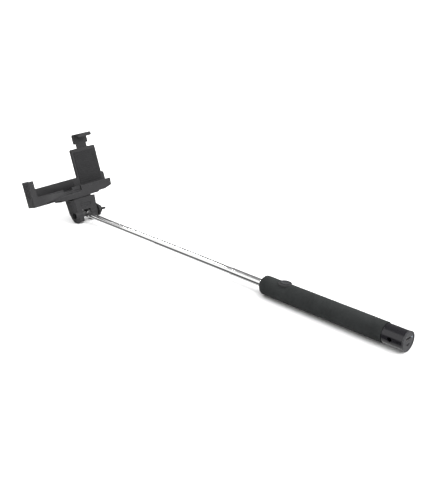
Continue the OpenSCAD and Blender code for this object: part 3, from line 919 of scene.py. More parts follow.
@dataclass
class Grip(Assembly):
    """Foam sleeve, its front ferrule, and the shutter button in its oval frame."""

    edge: float = 1.6
    ring_step: float = 0.62
    sides: int = 150
    frame_edge: float = 0.55
    dish: float = 0.3

    def sleeve(self) -> None:
        """Models the foam: a turned sleeve with round ends, an uneven skin and the button's well."""
        box = self.datum.box("foam_grip")
        well = self.datum.box("button_frame")
        core = self.datum.box("core_tube").size.x / 2
        radius, inner = box.size.x / 2, core + 0.1
        front, back = box.high.y, box.low.y
        nose = [(front - self.edge + a, radius - self.edge + b) for a, b in quarter(self.edge, 6)]
        tail_edge = 0.5
        tail = [(back + tail_edge - a, radius - tail_edge + b) for a, b in quarter(tail_edge, 3)]
        count = int((front - back - self.edge - tail_edge) / self.ring_step)
        start = back + tail_edge
        length = front - self.edge - start
        rings = [(start + length * i / count, radius) for i in range(1, count)]
        profile = [(back, inner), *reversed(tail), *rings, *nose, (front, inner), (back, inner)]
        piece = lathe("grip_sleeve", profile, Axis.Y, steps=self.sides)
        for scale, strength in ((3.2, 0.16), (0.9, 0.09)):
            texture = bpy.data.textures.new("foam_skin", "CLOUDS")
            texture.noise_scale = scale
            texture.noise_depth = 1
            modify(piece, "DISPLACE", texture=texture, texture_coords="LOCAL", strength=strength,
                   mid_level=0.95)
        size = (well.size.y + 0.2, well.size.x + 0.2)
        outline = oval(*size, centre=(0, well.middle.y))
        cut(piece, slab("well", outline, Axis.Z, 0, radius * 1.5))
        smooth(piece, 40)
        self.install(piece, "handle", "foam", "foam_grip")

    def ferrule(self) -> None:
        """Turns the plastic ring in front of the foam."""
        box = self.datum.box("front_ferrule")
        bore = self.datum.box("outer_tube").size.x / 2 + 0.05
        core = self.datum.box("core_tube").size.x / 2
        lip_back = self.datum.box("foam_grip").high.y
        radius = box.size.x / 2
        edge = 0.45
        nose = [(box.high.y - edge + a, radius - edge + b) for a, b in quarter(edge, 5)]
        profile = [
            (box.low.y, bore), (box.low.y, core), (lip_back, core), (lip_back, radius - 0.1),
            (lip_back + 0.1, radius), *nose, (box.high.y, bore + 0.25), (box.high.y - 0.25, bore),
            (box.low.y, bore),
        ]
        piece = smooth(lathe("grip_ferrule", profile, Axis.Y))
        self.install(piece, "handle", "clamp_plastic", "front_ferrule")

    def button_surround(self) -> None:
        """Models the oval frame that the button looks out of."""
        box = self.datum.box("button_frame")
        core = self.datum.box("core_tube").size.x / 2
        button = self.datum.box("shutter_button")
        centre = (0, box.middle.y)
        piece = slab("button_surround", oval(box.size.y, box.size.x, centre), Axis.Z, core + 0.1,
                     box.high.z)
        top = box.high.z
        bevel_edges(piece, lambda spot, way: spot.z > top - 0.01, self.frame_edge, 4)
        flange = (button.size.y, button.size.x)
        hole = slab("hole", oval(flange[0] - 1.1, flange[1] - 1.1, centre), Axis.Z, 0, top + 1)
        room = slab("room", oval(flange[0] + 0.4, flange[1] + 0.4, centre), Axis.Z, 0,
                    button.low.z + 1.0)
        cut(piece, hole, room)
        soften(piece, 0.12)
        self.install(piece, "handle", "clamp_plastic", "button_frame")

    def button(self) -> None:
        """Models the button: a stem with a rounded, dished top on a flange."""
        box = self.datum.box("shutter_button")
        centre = (0, box.middle.y)
        top = box.high.z
        piece = slab("shutter_cap", oval(box.size.y - 1.6, box.size.x - 1.6, centre), Axis.Z,
                     box.low.z + 0.3, top)
        bevel_edges(piece, lambda spot, way: spot.z > top - 0.01, 0.7, 5)
        sink_faces(piece, lambda spot, way: way.z > 0.99 and spot.z > top - 0.01, 0.35, self.dish / 2)
        sink_faces(piece, lambda spot, way: way.z > 0.99 and top - 0.4 < spot.z < top - 0.05, 0.5,
                   self.dish / 2)
        flange = slab("flange", oval(box.size.y, box.size.x, centre), Axis.Z, box.low.z,
                      box.low.z + 0.7)
        fuse(piece, flange)
        smooth(piece, 50)
        self.install(piece, "shutter", "button_grey", "shutter_button")

    def build(self) -> None:
        """Builds the grip's pieces."""
        self.sleeve()
        self.ferrule()
        self.button_surround()
        self.button()


@dataclass
class EndCap(Assembly):
    """Glossy cap with the strap hole, and the end plate with socket, switch and lamp."""

    edge: float = 0.7
    strap_edge: float = 0.35
    rim: float = 0.7
    shell: float = 0.3
    contacts: int = 5
    ridges: int = 3

    def cap(self) -> None:
        """Turns the cap's shell and spigot, and bores the strap hole through its sleeve."""
        box = self.datum.box("end_cap")
        joint_y = self.datum.box("foam_grip").low.y
        core = self.datum.box("core_tube").size.x / 2
        strap = Vector(self.strap_place())
        strap_r = self.strap_radius()
        radius = box.size.x / 2
        inner, spigot_inner = radius - 1.4, core - 0.7
        lip = [(joint_y - self.edge + a, radius - self.edge + b) for a, b in quarter(self.edge, 6)]
        profile = [
            (box.low.y, inner), (box.low.y, radius - 0.15), (box.low.y + 0.15, radius), *lip,
            (joint_y, core + 0.15), (joint_y + 0.15, core), (box.high.y - 0.4, core),
            (box.high.y, core - 0.3), (box.high.y, spigot_inner), (joint_y - 1.2, spigot_inner),
            (joint_y - 1.2, inner), (box.low.y, inner),
        ]
        piece = lathe("cap_shell", profile, Axis.Y, steps=96)
        sleeve = rod("sleeve", Axis.X, -radius + 0.5, radius - 0.5, strap_r + 0.8, tuple(strap))
        fuse(piece, sleeve)
        cut(piece, rod("strap_bore", Axis.X, -radius - 2, radius + 2, strap_r, tuple(strap), steps=48))

        def on_mouth(spot: Vector, way: Vector) -> bool:
            """Tells an edge of the hole's outer mouth."""
            across = math.hypot(spot.y - strap.y, spot.z - strap.z)
            return abs(across - strap_r) < 0.03 and abs(spot.x) > radius - 1 and abs(way.x) < 0.8

        bevel_edges(piece, on_mouth, self.strap_edge, 3)
        smooth(piece, 35)
        self.install(piece, "handle", "gloss_black", "end_cap")

    def strap_place(self) -> Point:
        """Centre of the strap hole about the datum."""
        mount = next(m for m in frame["record"]["mounts"] if m["name"] == "strap_hole")
        return tuple(self.datum.matrix().inverted() @ Vector(mount["pos_m"]))

    def strap_radius(self) -> float:
        """Radius of the strap hole."""
        mount = next(m for m in frame["record"]["mounts"] if m["name"] == "strap_hole")
        return mount["dims"]["r_mm"]

    def plate(self) -> None:
        """Turns the end plate with its raised rim and cuts its three openings."""
        box = self.datum.box("end_plate")
        radius = box.size.x / 2
        cap_r = self.datum.box("end_cap").size.x / 2
        out = box.low.y
        seat = self.datum.box("end_cap").low.y
        socket = self.datum.box("usb_socket")
        knob = self.datum.box("switch_knob")
        lamp = self.datum.box("status_led")
        travel = joint("power_slide")["range_m"][1] / MM
        ring = cap_r - 1.45
        profile = [
            (out + 0.5, 0), (out + 0.5, cap_r - self.rim - 0.15), (out + 0.35, cap_r - self.rim),
            (out + 0.1, cap_r - self.rim), (out, cap_r - self.rim + 0.12), (out, radius - 0.3),
            (out + 0.12, radius - 0.08), (out + 0.35, radius), (seat - 0.15, radius),
            (seat, radius - 0.15), (seat, ring), (box.high.y, ring), (box.high.y, ring - 0.95),
            (seat - 0.2, ring - 0.95), (seat - 0.2, 0),
        ]
        piece = lathe("cap_plate", profile, Axis.Y, steps=96)
        port = slab("port", self.port_outline(socket, 0.2), Axis.Y, out - 1, out + 6)
        slot = block("slot", (knob.low.x - 0.15, out - 1, knob.low.z - 0.1),
                     (knob.high.x + travel + 0.15, out + 6, knob.high.z + 0.1))
        lamp_hole = rod("lamp_hole", Axis.Y, out - 1, out + 6, lamp.size.x / 2 + 0.05,
                        (lamp.middle.x, 0, lamp.middle.z), steps=32)
        cut(piece, port, slot, lamp_hole)
        soften(piece, 0.1, 50, 2)
        self.install(piece, "handle", "plate_grey", "end_plate")

    def port_outline(self, socket: Box, grow: float) -> list[Flat]:
        """Outline of the charging port: a flat slot whose lower corners are cut off."""
        left, right = socket.low.x - grow, socket.high.x + grow
        low, high = socket.low.z - grow / 2, socket.high.z + grow
        corner = 1.0
        return [
            (left, high), (right, high), (right, low + corner), (right - corner, low),
            (left + corner, low), (left, low + corner),
        ]

    def socket(self) -> None:
        """Models the socket's steel shell, and the tongue with its contacts inside."""
        box = self.datum.box("usb_socket")
        out, back = box.low.y, box.high.y
        shell = slab("port_shell", self.port_outline(box, 0.0), Axis.Y, out, back)
        with editing(shell, "FACE"):
            pick(shell, "FACE", lambda spot, way: way.y < -0.9)
            bpy.ops.mesh.inset(thickness=self.shell, depth=0)
            depth = {"value": (0, box.size.y - self.shell, 0)}
            bpy.ops.mesh.extrude_region_move(TRANSFORM_OT_translate=depth)
        soften(shell, 0.07, 30, 2)
        self.install(shell, "handle", "bright_steel", "usb_socket")
        tongue = block("port_tongue", (-2.4, out + 0.8, box.middle.z),
                       (2.4, back - 0.2, box.middle.z + 0.6))
        bevel_edges(tongue, lambda spot, way: spot.y < out + 0.9, 0.2, 2)
        smooth(tongue)
        self.install(tongue, "handle", "part_grey")
        pitch = 0.8
        first = -pitch * (self.contacts - 1) / 2
        low = box.middle.z - 0.08
        contact = block("port_contacts", (first - 0.2, out + 1.1, low),
                        (first + 0.2, back - 0.6, low + 0.12))
        bevel_edges(contact, lambda spot, way: abs(way.y) > 0.9, 0.04, 1)
        steps = [(pitch * i, 0, 0) for i in range(1, self.contacts)]
        contacts = gather("port_contacts", repeat("contact", contact, steps))
        self.install(contacts, "handle", "brass")

    def knob(self) -> None:
        """Models the power switch's knob with ridges across it."""
        box = self.datum.box("switch_knob")
        piece = block("power_knob", tuple(box.low), tuple(box.high))
        bevel_edges(piece, lambda spot, way: spot.y < box.low.y + 0.01, 0.15, 3)
        pitch = box.size.x / (self.ridges + 1)
        first = block("groove", (box.low.x + pitch - 0.12, box.low.y - 1, box.low.z - 1),
                      (box.low.x + pitch + 0.12, box.low.y + 0.25, box.high.z + 1))
        grooves = repeat("groove", first, [(pitch * i, 0, 0) for i in range(1, self.ridges)])
        cut(piece, *grooves)
        smooth(piece)
        self.install(piece, "power", "clamp_plastic", "switch_knob")

    def lamp(self) -> None:
        """Turns the lamp's small domed lens."""
        box = self.datum.box("status_led")
        radius = box.size.x / 2
        dome = [(-0.25 * math.cos(a), radius * math.sin(a)) for a in (TURN / 4 * i / 6 for i in range(7))]
        profile = [(box.low.y + 0.25 + a, r) for a, r in dome] + [(box.high.y, radius), (box.high.y, 0)]
        centre = (box.middle.x, 0, box.middle.z)
        piece = smooth(lathe("lamp_lens", profile, Axis.Y, centre, steps=32), 50)
        self.install(piece, "handle", "lamp", "status_led")

    def build(self) -> None:
        """Builds the cap, the plate and what shows in its openings."""
        self.cap()
        self.plate()
        self.socket()
        self.knob()
        self.lamp()


# ---- Head ----


@dataclass
class Head(Assembly):
    """Tapered block that forks over the pole's eye, with its bolt, nut, knob and friction pad."""

    chamfer: float = 3.4
    foot_width: float = 28.0
    slot_width: float = 11.8
    slot_top: float = 4.2
    pocket_r: float = 6.6
    bolt_r: float = 2.0
    panel: tuple[float, float, float, float] = (-5.2, 8.4, 7.1, 12.2)
    panel_rim: float = 0.7
    boss_r: float = 5.0
    nut_flats: float = 7.0
    nut_depth: float = 3.8
    stud_r: float = 3.1
    hub_r: float = 7.6
    hub_t: float = 2.6
    cone_t: float = 3.4
    cone_r: float = 4.2
    wing_t: float = 2.4
    wing_tip: float = 2.6
    hub_ribs: int = 24

    @property
    def bolt(self) -> Vector:
        """Place of the tilt bolt about the datum."""
        return self.datum.matrix().inverted() @ Vector(joint("head_tilt")["pos_m"])

    def block(self) -> None:
        """Carves the block: tapered, chamfered, rounded at its foot, slotted and bored."""
        box = self.datum.box("head_block")
        bolt = tuple(self.bolt)
        half, depth, top = box.size.x / 2, box.high.y, box.high.z
        round_r = self.datum.origin.z / MM
        foot = bolt[2] - round_r
        half_foot = self.foot_width / 2
        piece = block("head_body", (-half_foot, -depth, foot), (half_foot, depth, top))
        with editing(piece, "FACE"):
            pick(piece, "FACE", lambda spot, way: way.z > 0.9)
            bpy.ops.transform.resize(value=(half / half_foot, 1, 1), center_override=(0, 0, top))
        bevel_edges(piece, lambda spot, way: abs(way.z) > 0.9 and not (spot.x > 0 and spot.y < 0),
                    self.chamfer, 1)
        back_low = Vector((depth, top - 3.0)) - Vector(bolt[1:])
        last = math.atan2(back_low.y, back_low.x) - math.acos(round_r / back_low.length)
        turns = [-TURN / 2 + (last + TURN / 2) * i / 24 for i in range(25)]
        arc = [(bolt[1] + round_r * math.cos(a), bolt[2] + round_r * math.sin(a)) for a in turns]
        side = [(bolt[1] - round_r, top + 1), *arc, (depth, top - 3.0), (depth, top + 1)]
        keep_common(piece, slab("side", side, Axis.X, -half - 1, half + 1))
        boss_x = self.datum.box("bolt_washer").low.x
        boss = rod("boss", Axis.X, -boss_x, boss_x, self.boss_r, bolt, edge=0.3)
        left, right, low, high = self.panel
        panel = block("panel", (left, -depth - 0.4, low), (right, -depth + 1, high))
        bevel_edges(panel, lambda spot, way: spot.y < -depth, 0.2, 2)
        fuse(piece, boss, panel)
        rim = self.panel_rim
        field = block("field", (left + rim, -depth - 1, low + rim),
                      (right - rim, -depth + 0.15, high - rim))
        cut(piece, field)
        slot_half = self.slot_width / 2
        pocket = rod("pocket", Axis.X, -slot_half, slot_half, self.pocket_r, bolt, steps=48)
        slot = block("slot", (-slot_half, -depth - 20, foot - 2),
                     (slot_half, depth + 20, bolt[2] + self.slot_top))
        hole = rod("hole", Axis.X, -boss_x - 1, boss_x + 1, self.bolt_r + 0.05, bolt, steps=40)
        nut_r = (self.nut_flats / 2 + 0.1) / math.cos(TURN / 12)
        nut_room = rod("nut_room", Axis.X, -boss_x - 1, -boss_x + self.nut_depth, nut_r, bolt, steps=6)
        stud = rod("stud", Axis.Z, 9, top + 2, self.stud_r, steps=48)
        cut(piece, pocket, slot, hole, nut_room, stud)
        soften(piece, 0.35, 28, 3)
        self.install(piece, "head", "clamp_plastic", "head_block")

    def fasteners(self) -> None:
        """Models the bolt, the nut and the washer."""
        centre = tuple(self.bolt)
        bolt = self.datum.box("clamp_bolt")
        piece = rod("tilt_bolt", Axis.X, bolt.low.x, bolt.high.x, self.bolt_r, centre, edge=0.35, steps=40)
        self.install(smooth(piece), "knob", "dark_steel", "clamp_bolt")
        nut = self.datum.box("hex_nut")
        corner = self.nut_flats / 2 / math.cos(TURN / 12)
        hexagon = rod("tilt_nut", Axis.X, nut.low.x, nut.high.x, corner, centre, steps=6)
        keep_common(hexagon, rod("dome", Axis.X, nut.low.x, nut.high.x + 1, corner, centre, edge=0.7))
        bore = rod("bore", Axis.X, nut.low.x - 1, nut.high.x + 1, self.bolt_r + 0.05, centre, steps=40)
        cut(hexagon, bore)
        self.install(soften(hexagon, 0.08, 25, 2), "head", "dark_steel", "hex_nut")
        washer = self.datum.box("bolt_washer")
        radius, inner = washer.size.y / 2, self.bolt_r + 0.1
        profile = [
            (washer.low.x, inner), (washer.low.x, radius - 0.15), (washer.low.x + 0.15, radius),
            (washer.high.x - 0.15, radius), (washer.high.x, radius - 0.15), (washer.high.x, inner),
            (washer.low.x, inner),
        ]
        ring = smooth(lathe("tilt_washer", profile, Axis.X, centre))
        self.install(ring, "head", "dark_steel", "bolt_washer")

    def friction_pad(self) -> None:
        """Models the rubber pad that the clamp turns on, with a groove round its edge."""
        pad = self.datum.box("friction_pad")
        piece = block("swivel_pad", tuple(pad.low), tuple(pad.high))
        bevel_edges(piece, lambda spot, way: abs(way.z) > 0.9, 1.2, 5)
        cut(piece, rod("hole", Axis.Z, pad.low.z - 1, pad.high.z + 1, self.stud_r + 0.1, steps=48))
        groove = block("groove", (-14, pad.high.y - 0.25, pad.middle.z - 0.15),
                       (14, pad.high.y + 1, pad.middle.z + 0.15))
        cut(piece, *repeat("groove", groove, [(0, -pad.size.y - 0.75, 0)]))
        self.install(soften(piece, 0.12), "head", "pad_rubber", "friction_pad")

    def wing(self, side: int, low: float, high: float, reach: float) -> Object:
        """Models one wing of the knob about the X axis, with a rounded tip.

        Args:
            side: 1 or -1, the way it points along Y.
            low: start of the knob on X.
            high: end of the wing on X.
            reach: radius that the tip reaches.

        Returns:
            The wing with rounded edges.
        """
        tip_r = self.wing_tip
        turns = [TURN * (0.30 - 0.42 * i / 10) for i in range(11)]
        tip = [
            (high - tip_r + tip_r * math.cos(a), side * (reach - tip_r + tip_r * math.sin(a)))
            for a in turns
        ]
        outline = [
            (low + 1, side * 2.2), (low + 1, side * (self.hub_r - 1)),
            (low + 3, side * (self.hub_r - 0.2)), *tip, (high - 3.4, side * 3.0),
        ]
        piece = slab(f"wing_{side}", outline, Axis.Z, -self.wing_t / 2, self.wing_t / 2)
        return bevel_edges(piece, lambda spot, way: abs(way.z) < 0.1 and abs(spot.y) > 3.1, 0.55, 3)

    def wing_knob(self) -> None:
        """Models the wing knob: a ribbed hub, a cone and two flared wings."""
        box = self.datum.box("wing_knob")
        low, high = box.low.x, box.high.x
        hub_r, hub_end = self.hub_r, low + self.hub_t
        profile = [
            (low, 2.0), (low, hub_r - 0.4), (low + 0.4, hub_r), (hub_end - 0.6, hub_r),
            (hub_end, hub_r - 0.6), (hub_end + 0.4, hub_r - 1.4), (hub_end + self.cone_t, self.cone_r),
            (hub_end + self.cone_t, 2.4), (hub_end, 2.0), (low, 2.0),
        ]
        piece = lathe("wing_handle", profile, Axis.X, steps=72)
        reach = box.size.y / 2
        fuse(piece, *(self.wing(side, low, high, reach) for side in (1, -1)))
        rib = block("rib", (low - 1, -0.35, hub_r - 0.35), (hub_end + 1, 0.35, hub_r + 1))
        angles = [TURN * i / self.hub_ribs for i in range(1, self.hub_ribs)]
        cut(piece, *(turned(rib, angle) for angle in angles if abs(math.cos(angle)) > 0.35), rib)
        soften(piece, 0.2, 35, 2)
        with editing(piece, "VERT"):
            bpy.ops.mesh.select_all(action="SELECT")
            bpy.ops.transform.translate(value=(0, self.bolt.y, self.bolt.z))
        self.install(piece, "knob", "clamp_plastic", "wing_knob")

    def build(self) -> None:
        """Builds the head's pieces."""
        self.block()
        self.fasteners()
        self.friction_pad()
        self.wing_knob()


# ---- Phone clamp ----


@dataclass
class Clamp(Assembly):
    """Tray in two halves with the end stop, the sprung arm with its hook, and the rubber strips."""

    lip: float = 2.2
    bar_width: float = 10.0
    bar_thickness: float = 2.4
    gap: float = 0.1
    wall_width: float = 34.0
    cover_t: float = 1.05
    low_wall: float = 12.0
    housing: float = 29.0
    notch: Flat = (-22.6, -10.5)
    stop_t: float = 1.1
    stop_lip: float = 6.3
    stop_height: float = 22.3
    hook_t: float = 1.7
    hook_lip: float = 2.7
    insert_r: float = 4.75
    insert_h: float = 5.2
    edge: float = 0.35
    lows: dict[str, Box] = field(default_factory=dict)

    def measure(self) -> None:
        """Takes the boxes that the clamp's pieces share."""
        for node in ("holder_body", "side_slider", "clamp_arm", "back_cover", "body_floor_pad",
                     "slider_floor_pad", "stop_pad", "back_pad", "hook_pad", "cover_screws"):
            self.lows[node] = self.datum.box(node)

    @property
    def front(self) -> float:
        """Front face of the tray."""
        return self.lows["holder_body"].low.y

    @property
    def back(self) -> float:
        """Back face of the tray."""
        return self.lows["holder_body"].high.y

    @property
    def floor(self) -> float:
        """Floor of the tray, under the rubber strips."""
        return self.lows["body_floor_pad"].low.z

    @property
    def wall(self) -> float:
        """Front face of the back wall."""
        return self.lows["back_pad"].high.y

    @property
    def arm_x(self) -> float:
        """Middle of the sprung arm."""
        return self.lows["clamp_arm"].middle.x

    def body(self) -> None:
        """Models the fixed half: tray, slider housing, lip and the guide for the arm."""
        box = self.lows["holder_body"]
        front, back, floor, wall = self.front, self.back, self.floor, self.wall
        low, right = box.low.z, box.high.x
        lip_top = floor + 2.5
        lip_y = front + self.lip
        bar_low = low + self.insert_h + 0.5
        x = self.arm_x
        outline = [(self.gap, low), (24, low), (25.5, low + 1.4), (34, low + 1.4), (right, low + 4.5),
                   (right, floor), (self.gap, floor)]
        piece = slab("clamp_body", outline, Axis.Y, front, back)
        bevel_edges(piece, lambda spot, way: abs(way.z) > 0.9 and spot.x > right - 0.1, 1.0, 4)
        housing = block("housing", (-self.housing, front, low),
                        (self.gap + 1, back, bar_low - 2 * self.gap))
        bevel_edges(housing, lambda spot, way: spot.x < -self.housing + 0.01 and abs(way.y) < 0.5, 0.8, 3)
        lip = block("lip", (self.gap, front, floor - 1), (right, lip_y, lip_top))
        bevel_edges(lip, lambda spot, way: spot.x > right - 0.01 and abs(way.y) > 0.9
                    and spot.z > floor, 0.8, 3)
        bevel_edges(lip, lambda spot, way: abs(way.z) > 0.9 and spot.x > right - 0.1
                    and spot.y < front + 0.1, 1.0, 4)
        low_wall = block("low_wall", (self.gap, wall, floor - 1), (right, back, floor + self.low_wall))
        bevel_edges(low_wall, lambda spot, way: spot.x > right - 0.01 and abs(way.y) > 0.9
                    and spot.z > floor, 3.0, 6)
        half = self.wall_width / 2
        guide = block("guide", (x - half, wall, floor), (x + half, back, box.high.z))
        bevel_edges(guide, lambda spot, way: abs(way.y) > 0.9 and spot.z > floor + 1, 2.0, 5)
        fuse(piece, housing, lip, low_wall, guide)
        sleeve = block("sleeve", (-1, -self.bar_width / 2 - self.gap, bar_low - self.gap),
                       (39, self.bar_width / 2 + self.gap, bar_low + self.bar_thickness + self.gap))
        seat = rod("seat", Axis.Z, low - 1, low + self.insert_h, self.insert_r, steps=48)
        ear_half = 12.2
        arm_half = 7.1
        cavity_low, cavity_high = floor + 1.4, box.high.z - 2
        room = block("room", (x - ear_half, wall + 0.9, cavity_low), (x + ear_half, back + 1, cavity_high))
        mouth = block("mouth", (x - arm_half, wall + 0.9, cavity_high - 1),
                      (x + arm_half, back + 1, box.high.z + 1))
        recess = block("recess", (x - half + 0.8, back - self.cover_t, cavity_low - 1),
                       (x + half - 0.8, back + 1, box.high.z + 1))
        cut(piece, sleeve, seat, room, mouth, recess)
        self.body_details(piece, lip_top)
        soften(piece, self.edge, 40, 3)
        self.install(piece, "clamp", "clamp_plastic", "holder_body")

    def body_details(self, piece: Object, lip_top: float) -> None:
        """Cuts the seam under the lip, a notch by the split and finger grooves at the end."""
        front, floor = self.front, self.floor
        right = self.lows["holder_body"].high.x
        seam = block("seam", (2.8, front - 1, floor - 0.2), (right - 1.6, front + 0.3, floor + 0.2))
        notch = block("notch", (self.gap - 1, front - 1, floor - 2.6),
                      (self.gap + 1.7, front + 1.6, lip_top + 1))
        cut(piece, seam, notch)
        end = block("groove", (right - 0.3, front + 2.5, floor - 4.2),
                    (right + 1, self.back - 2.5, floor - 3.8))
        cut(piece, *repeat("groove", end, [(0, 0, 1.2), (0, 0, 2.4)]))

    def slider(self) -> None:
        """Models the sliding half: tray, lip with its notch, end stop and the bar."""
        box = self.lows["side_slider"]
        front, back, floor, wall = self.front, self.back, self.floor, self.wall
        left, right = box.low.x, -self.gap
        lip_y = front + self.lip
        lip_top = floor + 3.3
        body_low = self.lows["holder_body"].low.z
        bar_low = body_low + self.insert_h + 0.5
        seam, skirt = bar_low - self.gap, body_low + 2.5
        piece = block("clamp_slider", (left, front, seam), (right, back, floor))
        skirt_outline = [(left, skirt + 0.2), (left + 14, skirt), (-self.housing - self.gap, skirt),
                         (-self.housing - self.gap, floor - 0.5), (left, floor - 0.5)]
        under = slab("under", skirt_outline, Axis.Y, front, back)
        lip = block("lip", (left, front, floor - 1), (right, lip_y, lip_top))
        low_wall = block("low_wall", (left, wall, floor - 1), (right, back, floor + self.low_wall))
        top = floor + self.stop_height
        stop = block("stop", (left, front, floor - 1), (left + self.stop_lip, back, top))
        bevel_edges(stop, lambda spot, way: spot.z > top - 0.01 and abs(way.y) > 0.9
                    and spot.x < left + 0.1, 1.2, 4)
        bevel_edges(stop, lambda spot, way: abs(way.z) > 0.9 and spot.x < left + 0.1, 0.9, 4)
        room = block("room", (left + self.stop_t, lip_y, floor), (left + self.stop_lip + 1, wall, top + 1))
        cut(stop, room)
        corner = self.fillet("corner", left + self.stop_lip, lip_top, front, lip_y)
        rear = self.fillet("rear", left + self.stop_lip, floor + self.low_wall, wall, back)
        bar = block("bar", (right - 1, -self.bar_width / 2, bar_low),
                    (box.high.x, self.bar_width / 2, bar_low + self.bar_thickness))
        bevel_edges(bar, lambda spot, way: spot.x > box.high.x - 0.01, 0.8, 3)
        fuse(piece, under, lip, low_wall, stop, corner, rear, bar)
        notch = block("notch", (self.notch[0], front - 1, floor), (self.notch[1], lip_y + 0.01, lip_top + 1))
        bevel_edges(notch, lambda spot, way: abs(way.y) > 0.9 and spot.z < floor + 0.1, 0.8, 4)
        cut(piece, notch)
        self.slider_details(piece, skirt)
        soften(piece, self.edge, 40, 3)
        self.install(piece, "slider", "clamp_plastic", "side_slider")

    def fillet(self, name: str, x: float, z: float, low: float, high: float, size: float = 3.0) -> Object:
        """Models the hollow fillet in the corner between the end stop and a lip."""
        turns = [TURN / 4 * i / 8 for i in range(9)]
        arc = [(x + size - size * math.cos(a), z + size - size * math.sin(a)) for a in turns]
        outline = [(x - 0.5, z - 0.5), (x - 0.5, z + size), *arc, (x + size, z - 0.5)]
        return slab(name, outline, Axis.Y, low, high)

    def slider_details(self, piece: Object, skirt: float) -> None:
        """Cuts the ledges beside the seam, a groove along the front of the foot and grip ribs on the stop's side.
        """
        front, floor = self.front, self.floor
        left = self.lows["side_slider"].low.x
        for low in (floor - 1.4, floor - 3.6):
            ledge = block("ledge", (-20.5, front - 1, low), (1, front + 0.7, low + 0.8))
            cut(piece, ledge)
        foot = block("foot_groove", (left + 9, front - 1, skirt - 1), (-self.housing - 6, front + 0.35,
                                                                      skirt + 0.7))
        cut(piece, foot)
        side = block("side_groove", (left - 1, front + 3.2, floor + 4), (left + 0.3, front + 3.9, floor + 18))
        cut(piece, *repeat("side_groove", side, [(0, 1.7 * i, 0) for i in range(1, 6)]))

    def arm(self) -> None:
        """Models the sprung arm: strip, ears, gusset, top plate and hook lip."""
        box = self.lows["clamp_arm"]
        x, front, back, wall = self.arm_x, self.front, self.back, self.wall
        hook_low = box.high.z - self.hook_t
        half_hook = 9.2
        guide_top = self.lows["holder_body"].high.z
        gusset_low = guide_top + 4.9
        arm_y, arm_t = wall + 1.0, 1.9
        ear_low = self.floor + 18
        piece = block("clamp_hook", (x - half_hook, front, hook_low), (x + half_hook, back, box.high.z))
        bevel_edges(piece, lambda spot, way: abs(way.z) > 0.9 and spot.y > 0, 1.6, 5)
        bevel_edges(piece, lambda spot, way: abs(way.z) > 0.9 and spot.y < 0, 1.0, 4)
        lip = block("lip", (x - half_hook, front, hook_low - self.hook_lip),
                    (x + half_hook, front + self.lip, hook_low + 0.5))
        bevel_edges(lip, lambda spot, way: abs(way.y) > 0.9 and spot.z < hook_low - 1, 1.2, 4)
        gusset_outline = [(wall, hook_low + 0.5), (wall, gusset_low + 2.4), (wall + 1.0, gusset_low),
                          (back - 0.8, gusset_low), (back, gusset_low + 1.2), (back, hook_low + 0.5)]
        gusset = slab("gusset", gusset_outline, Axis.X, x - half_hook, x + half_hook)
        strip = block("strip", (x - 7, arm_y, box.low.z), (x + 7, arm_y + arm_t, hook_low + 0.5))
        ears = block("ears", (x - 12, arm_y, ear_low), (x + 12, arm_y + arm_t, ear_low + 3))
        bevel_edges(ears, lambda spot, way: abs(way.y) > 0.9, 0.6, 3)
        fuse(piece, lip, gusset, strip, ears)
        rib = block("rib", (x - 5.4, back - 0.35, gusset_low + 2.4), (x - 4.2, back + 1, hook_low - 1))
        cut(piece, *repeat("rib", rib, [(2.4 * i, 0, 0) for i in range(1, 5)]))
        channel = block("channel", (x - 4.5, arm_y + arm_t - 0.5, box.low.z + 3),
                        (x + 4.5, arm_y + arm_t + 0.5, gusset_low - 1.5))
        bevel_edges(channel, lambda spot, way: abs(way.y) > 0.9, 1.5, 4)
        cut(piece, channel)
        top_groove = block("top_groove", (x - 6.5, front + 3, box.high.z - 0.3),
                           (x + 6.5, front + 3.7, box.high.z + 1))
        cut(piece, *repeat("top_groove", top_groove, [(0, 1.8 * i, 0) for i in range(1, 5)]))
        soften(piece, self.edge, 40, 3)
        self.install(piece, "arm", "clamp_plastic", "clamp_arm")

    def cover(self) -> None:
        """Models the back cover, ribbed and countersunk, and its four cross-head screws."""
        box = self.lows["back_cover"]
        screws = self.lows["cover_screws"]
        head_r = 1.25
        left, right = screws.low.x + head_r, screws.high.x - head_r
        low, high = screws.low.z + head_r, screws.high.z - head_r
        places = [(a, c) for a in (left, right) for c in (low, high)]
        piece = block("clamp_cover", tuple(box.low), tuple(box.high))
        bevel_edges(piece, lambda spot, way: abs(way.y) > 0.9, 1.0, 4)
        for a, c in places:
            cut(piece, rod("hole", Axis.Y, box.low.y - 1, box.high.y + 1, 0.65, (a, 0, c), steps=24))
            sink = rod("sink", Axis.Y, box.high.y - 0.6, box.high.y + 1, head_r + 0.05, (a, 0, c), steps=32)
            cut(piece, sink)
        rib = block("rib", (box.middle.x - 9, box.high.y - 0.35, box.low.z + 7),
                    (box.middle.x + 9, box.high.y + 1, box.low.z + 8))
        bevel_edges(rib, lambda spot, way: abs(way.y) > 0.9, 0.45, 3)
        cut(piece, *repeat("rib", rib, [(0, 0, 2.4 * i) for i in range(1, 12)]))
        soften(piece, 0.18, 40, 2)
        self.install(piece, "clamp", "clamp_plastic", "back_cover")
        heads = []
        for number, (a, c) in enumerate(places):
            top = box.high.y - 0.1
            screw = rod(f"cover_screw_{number}", Axis.Y, top - 3.2, top, 0.6, (a, 0, c), steps=24)
            head = rod("head", Axis.Y, top - 0.5, top, head_r, (a, 0, c), edge=0.18, steps=32)
            fuse(screw, head)
            for wide, tall in ((0.7, 0.13), (0.13, 0.7)):
                cut(screw, block("cross", (a - wide, top - 0.3, c - tall), (a + wide, top + 1, c + tall)))
            heads.append(smooth(screw, 40))
        self.install(gather("clamp_screws", heads), "clamp", "bright_steel", "cover_screws")

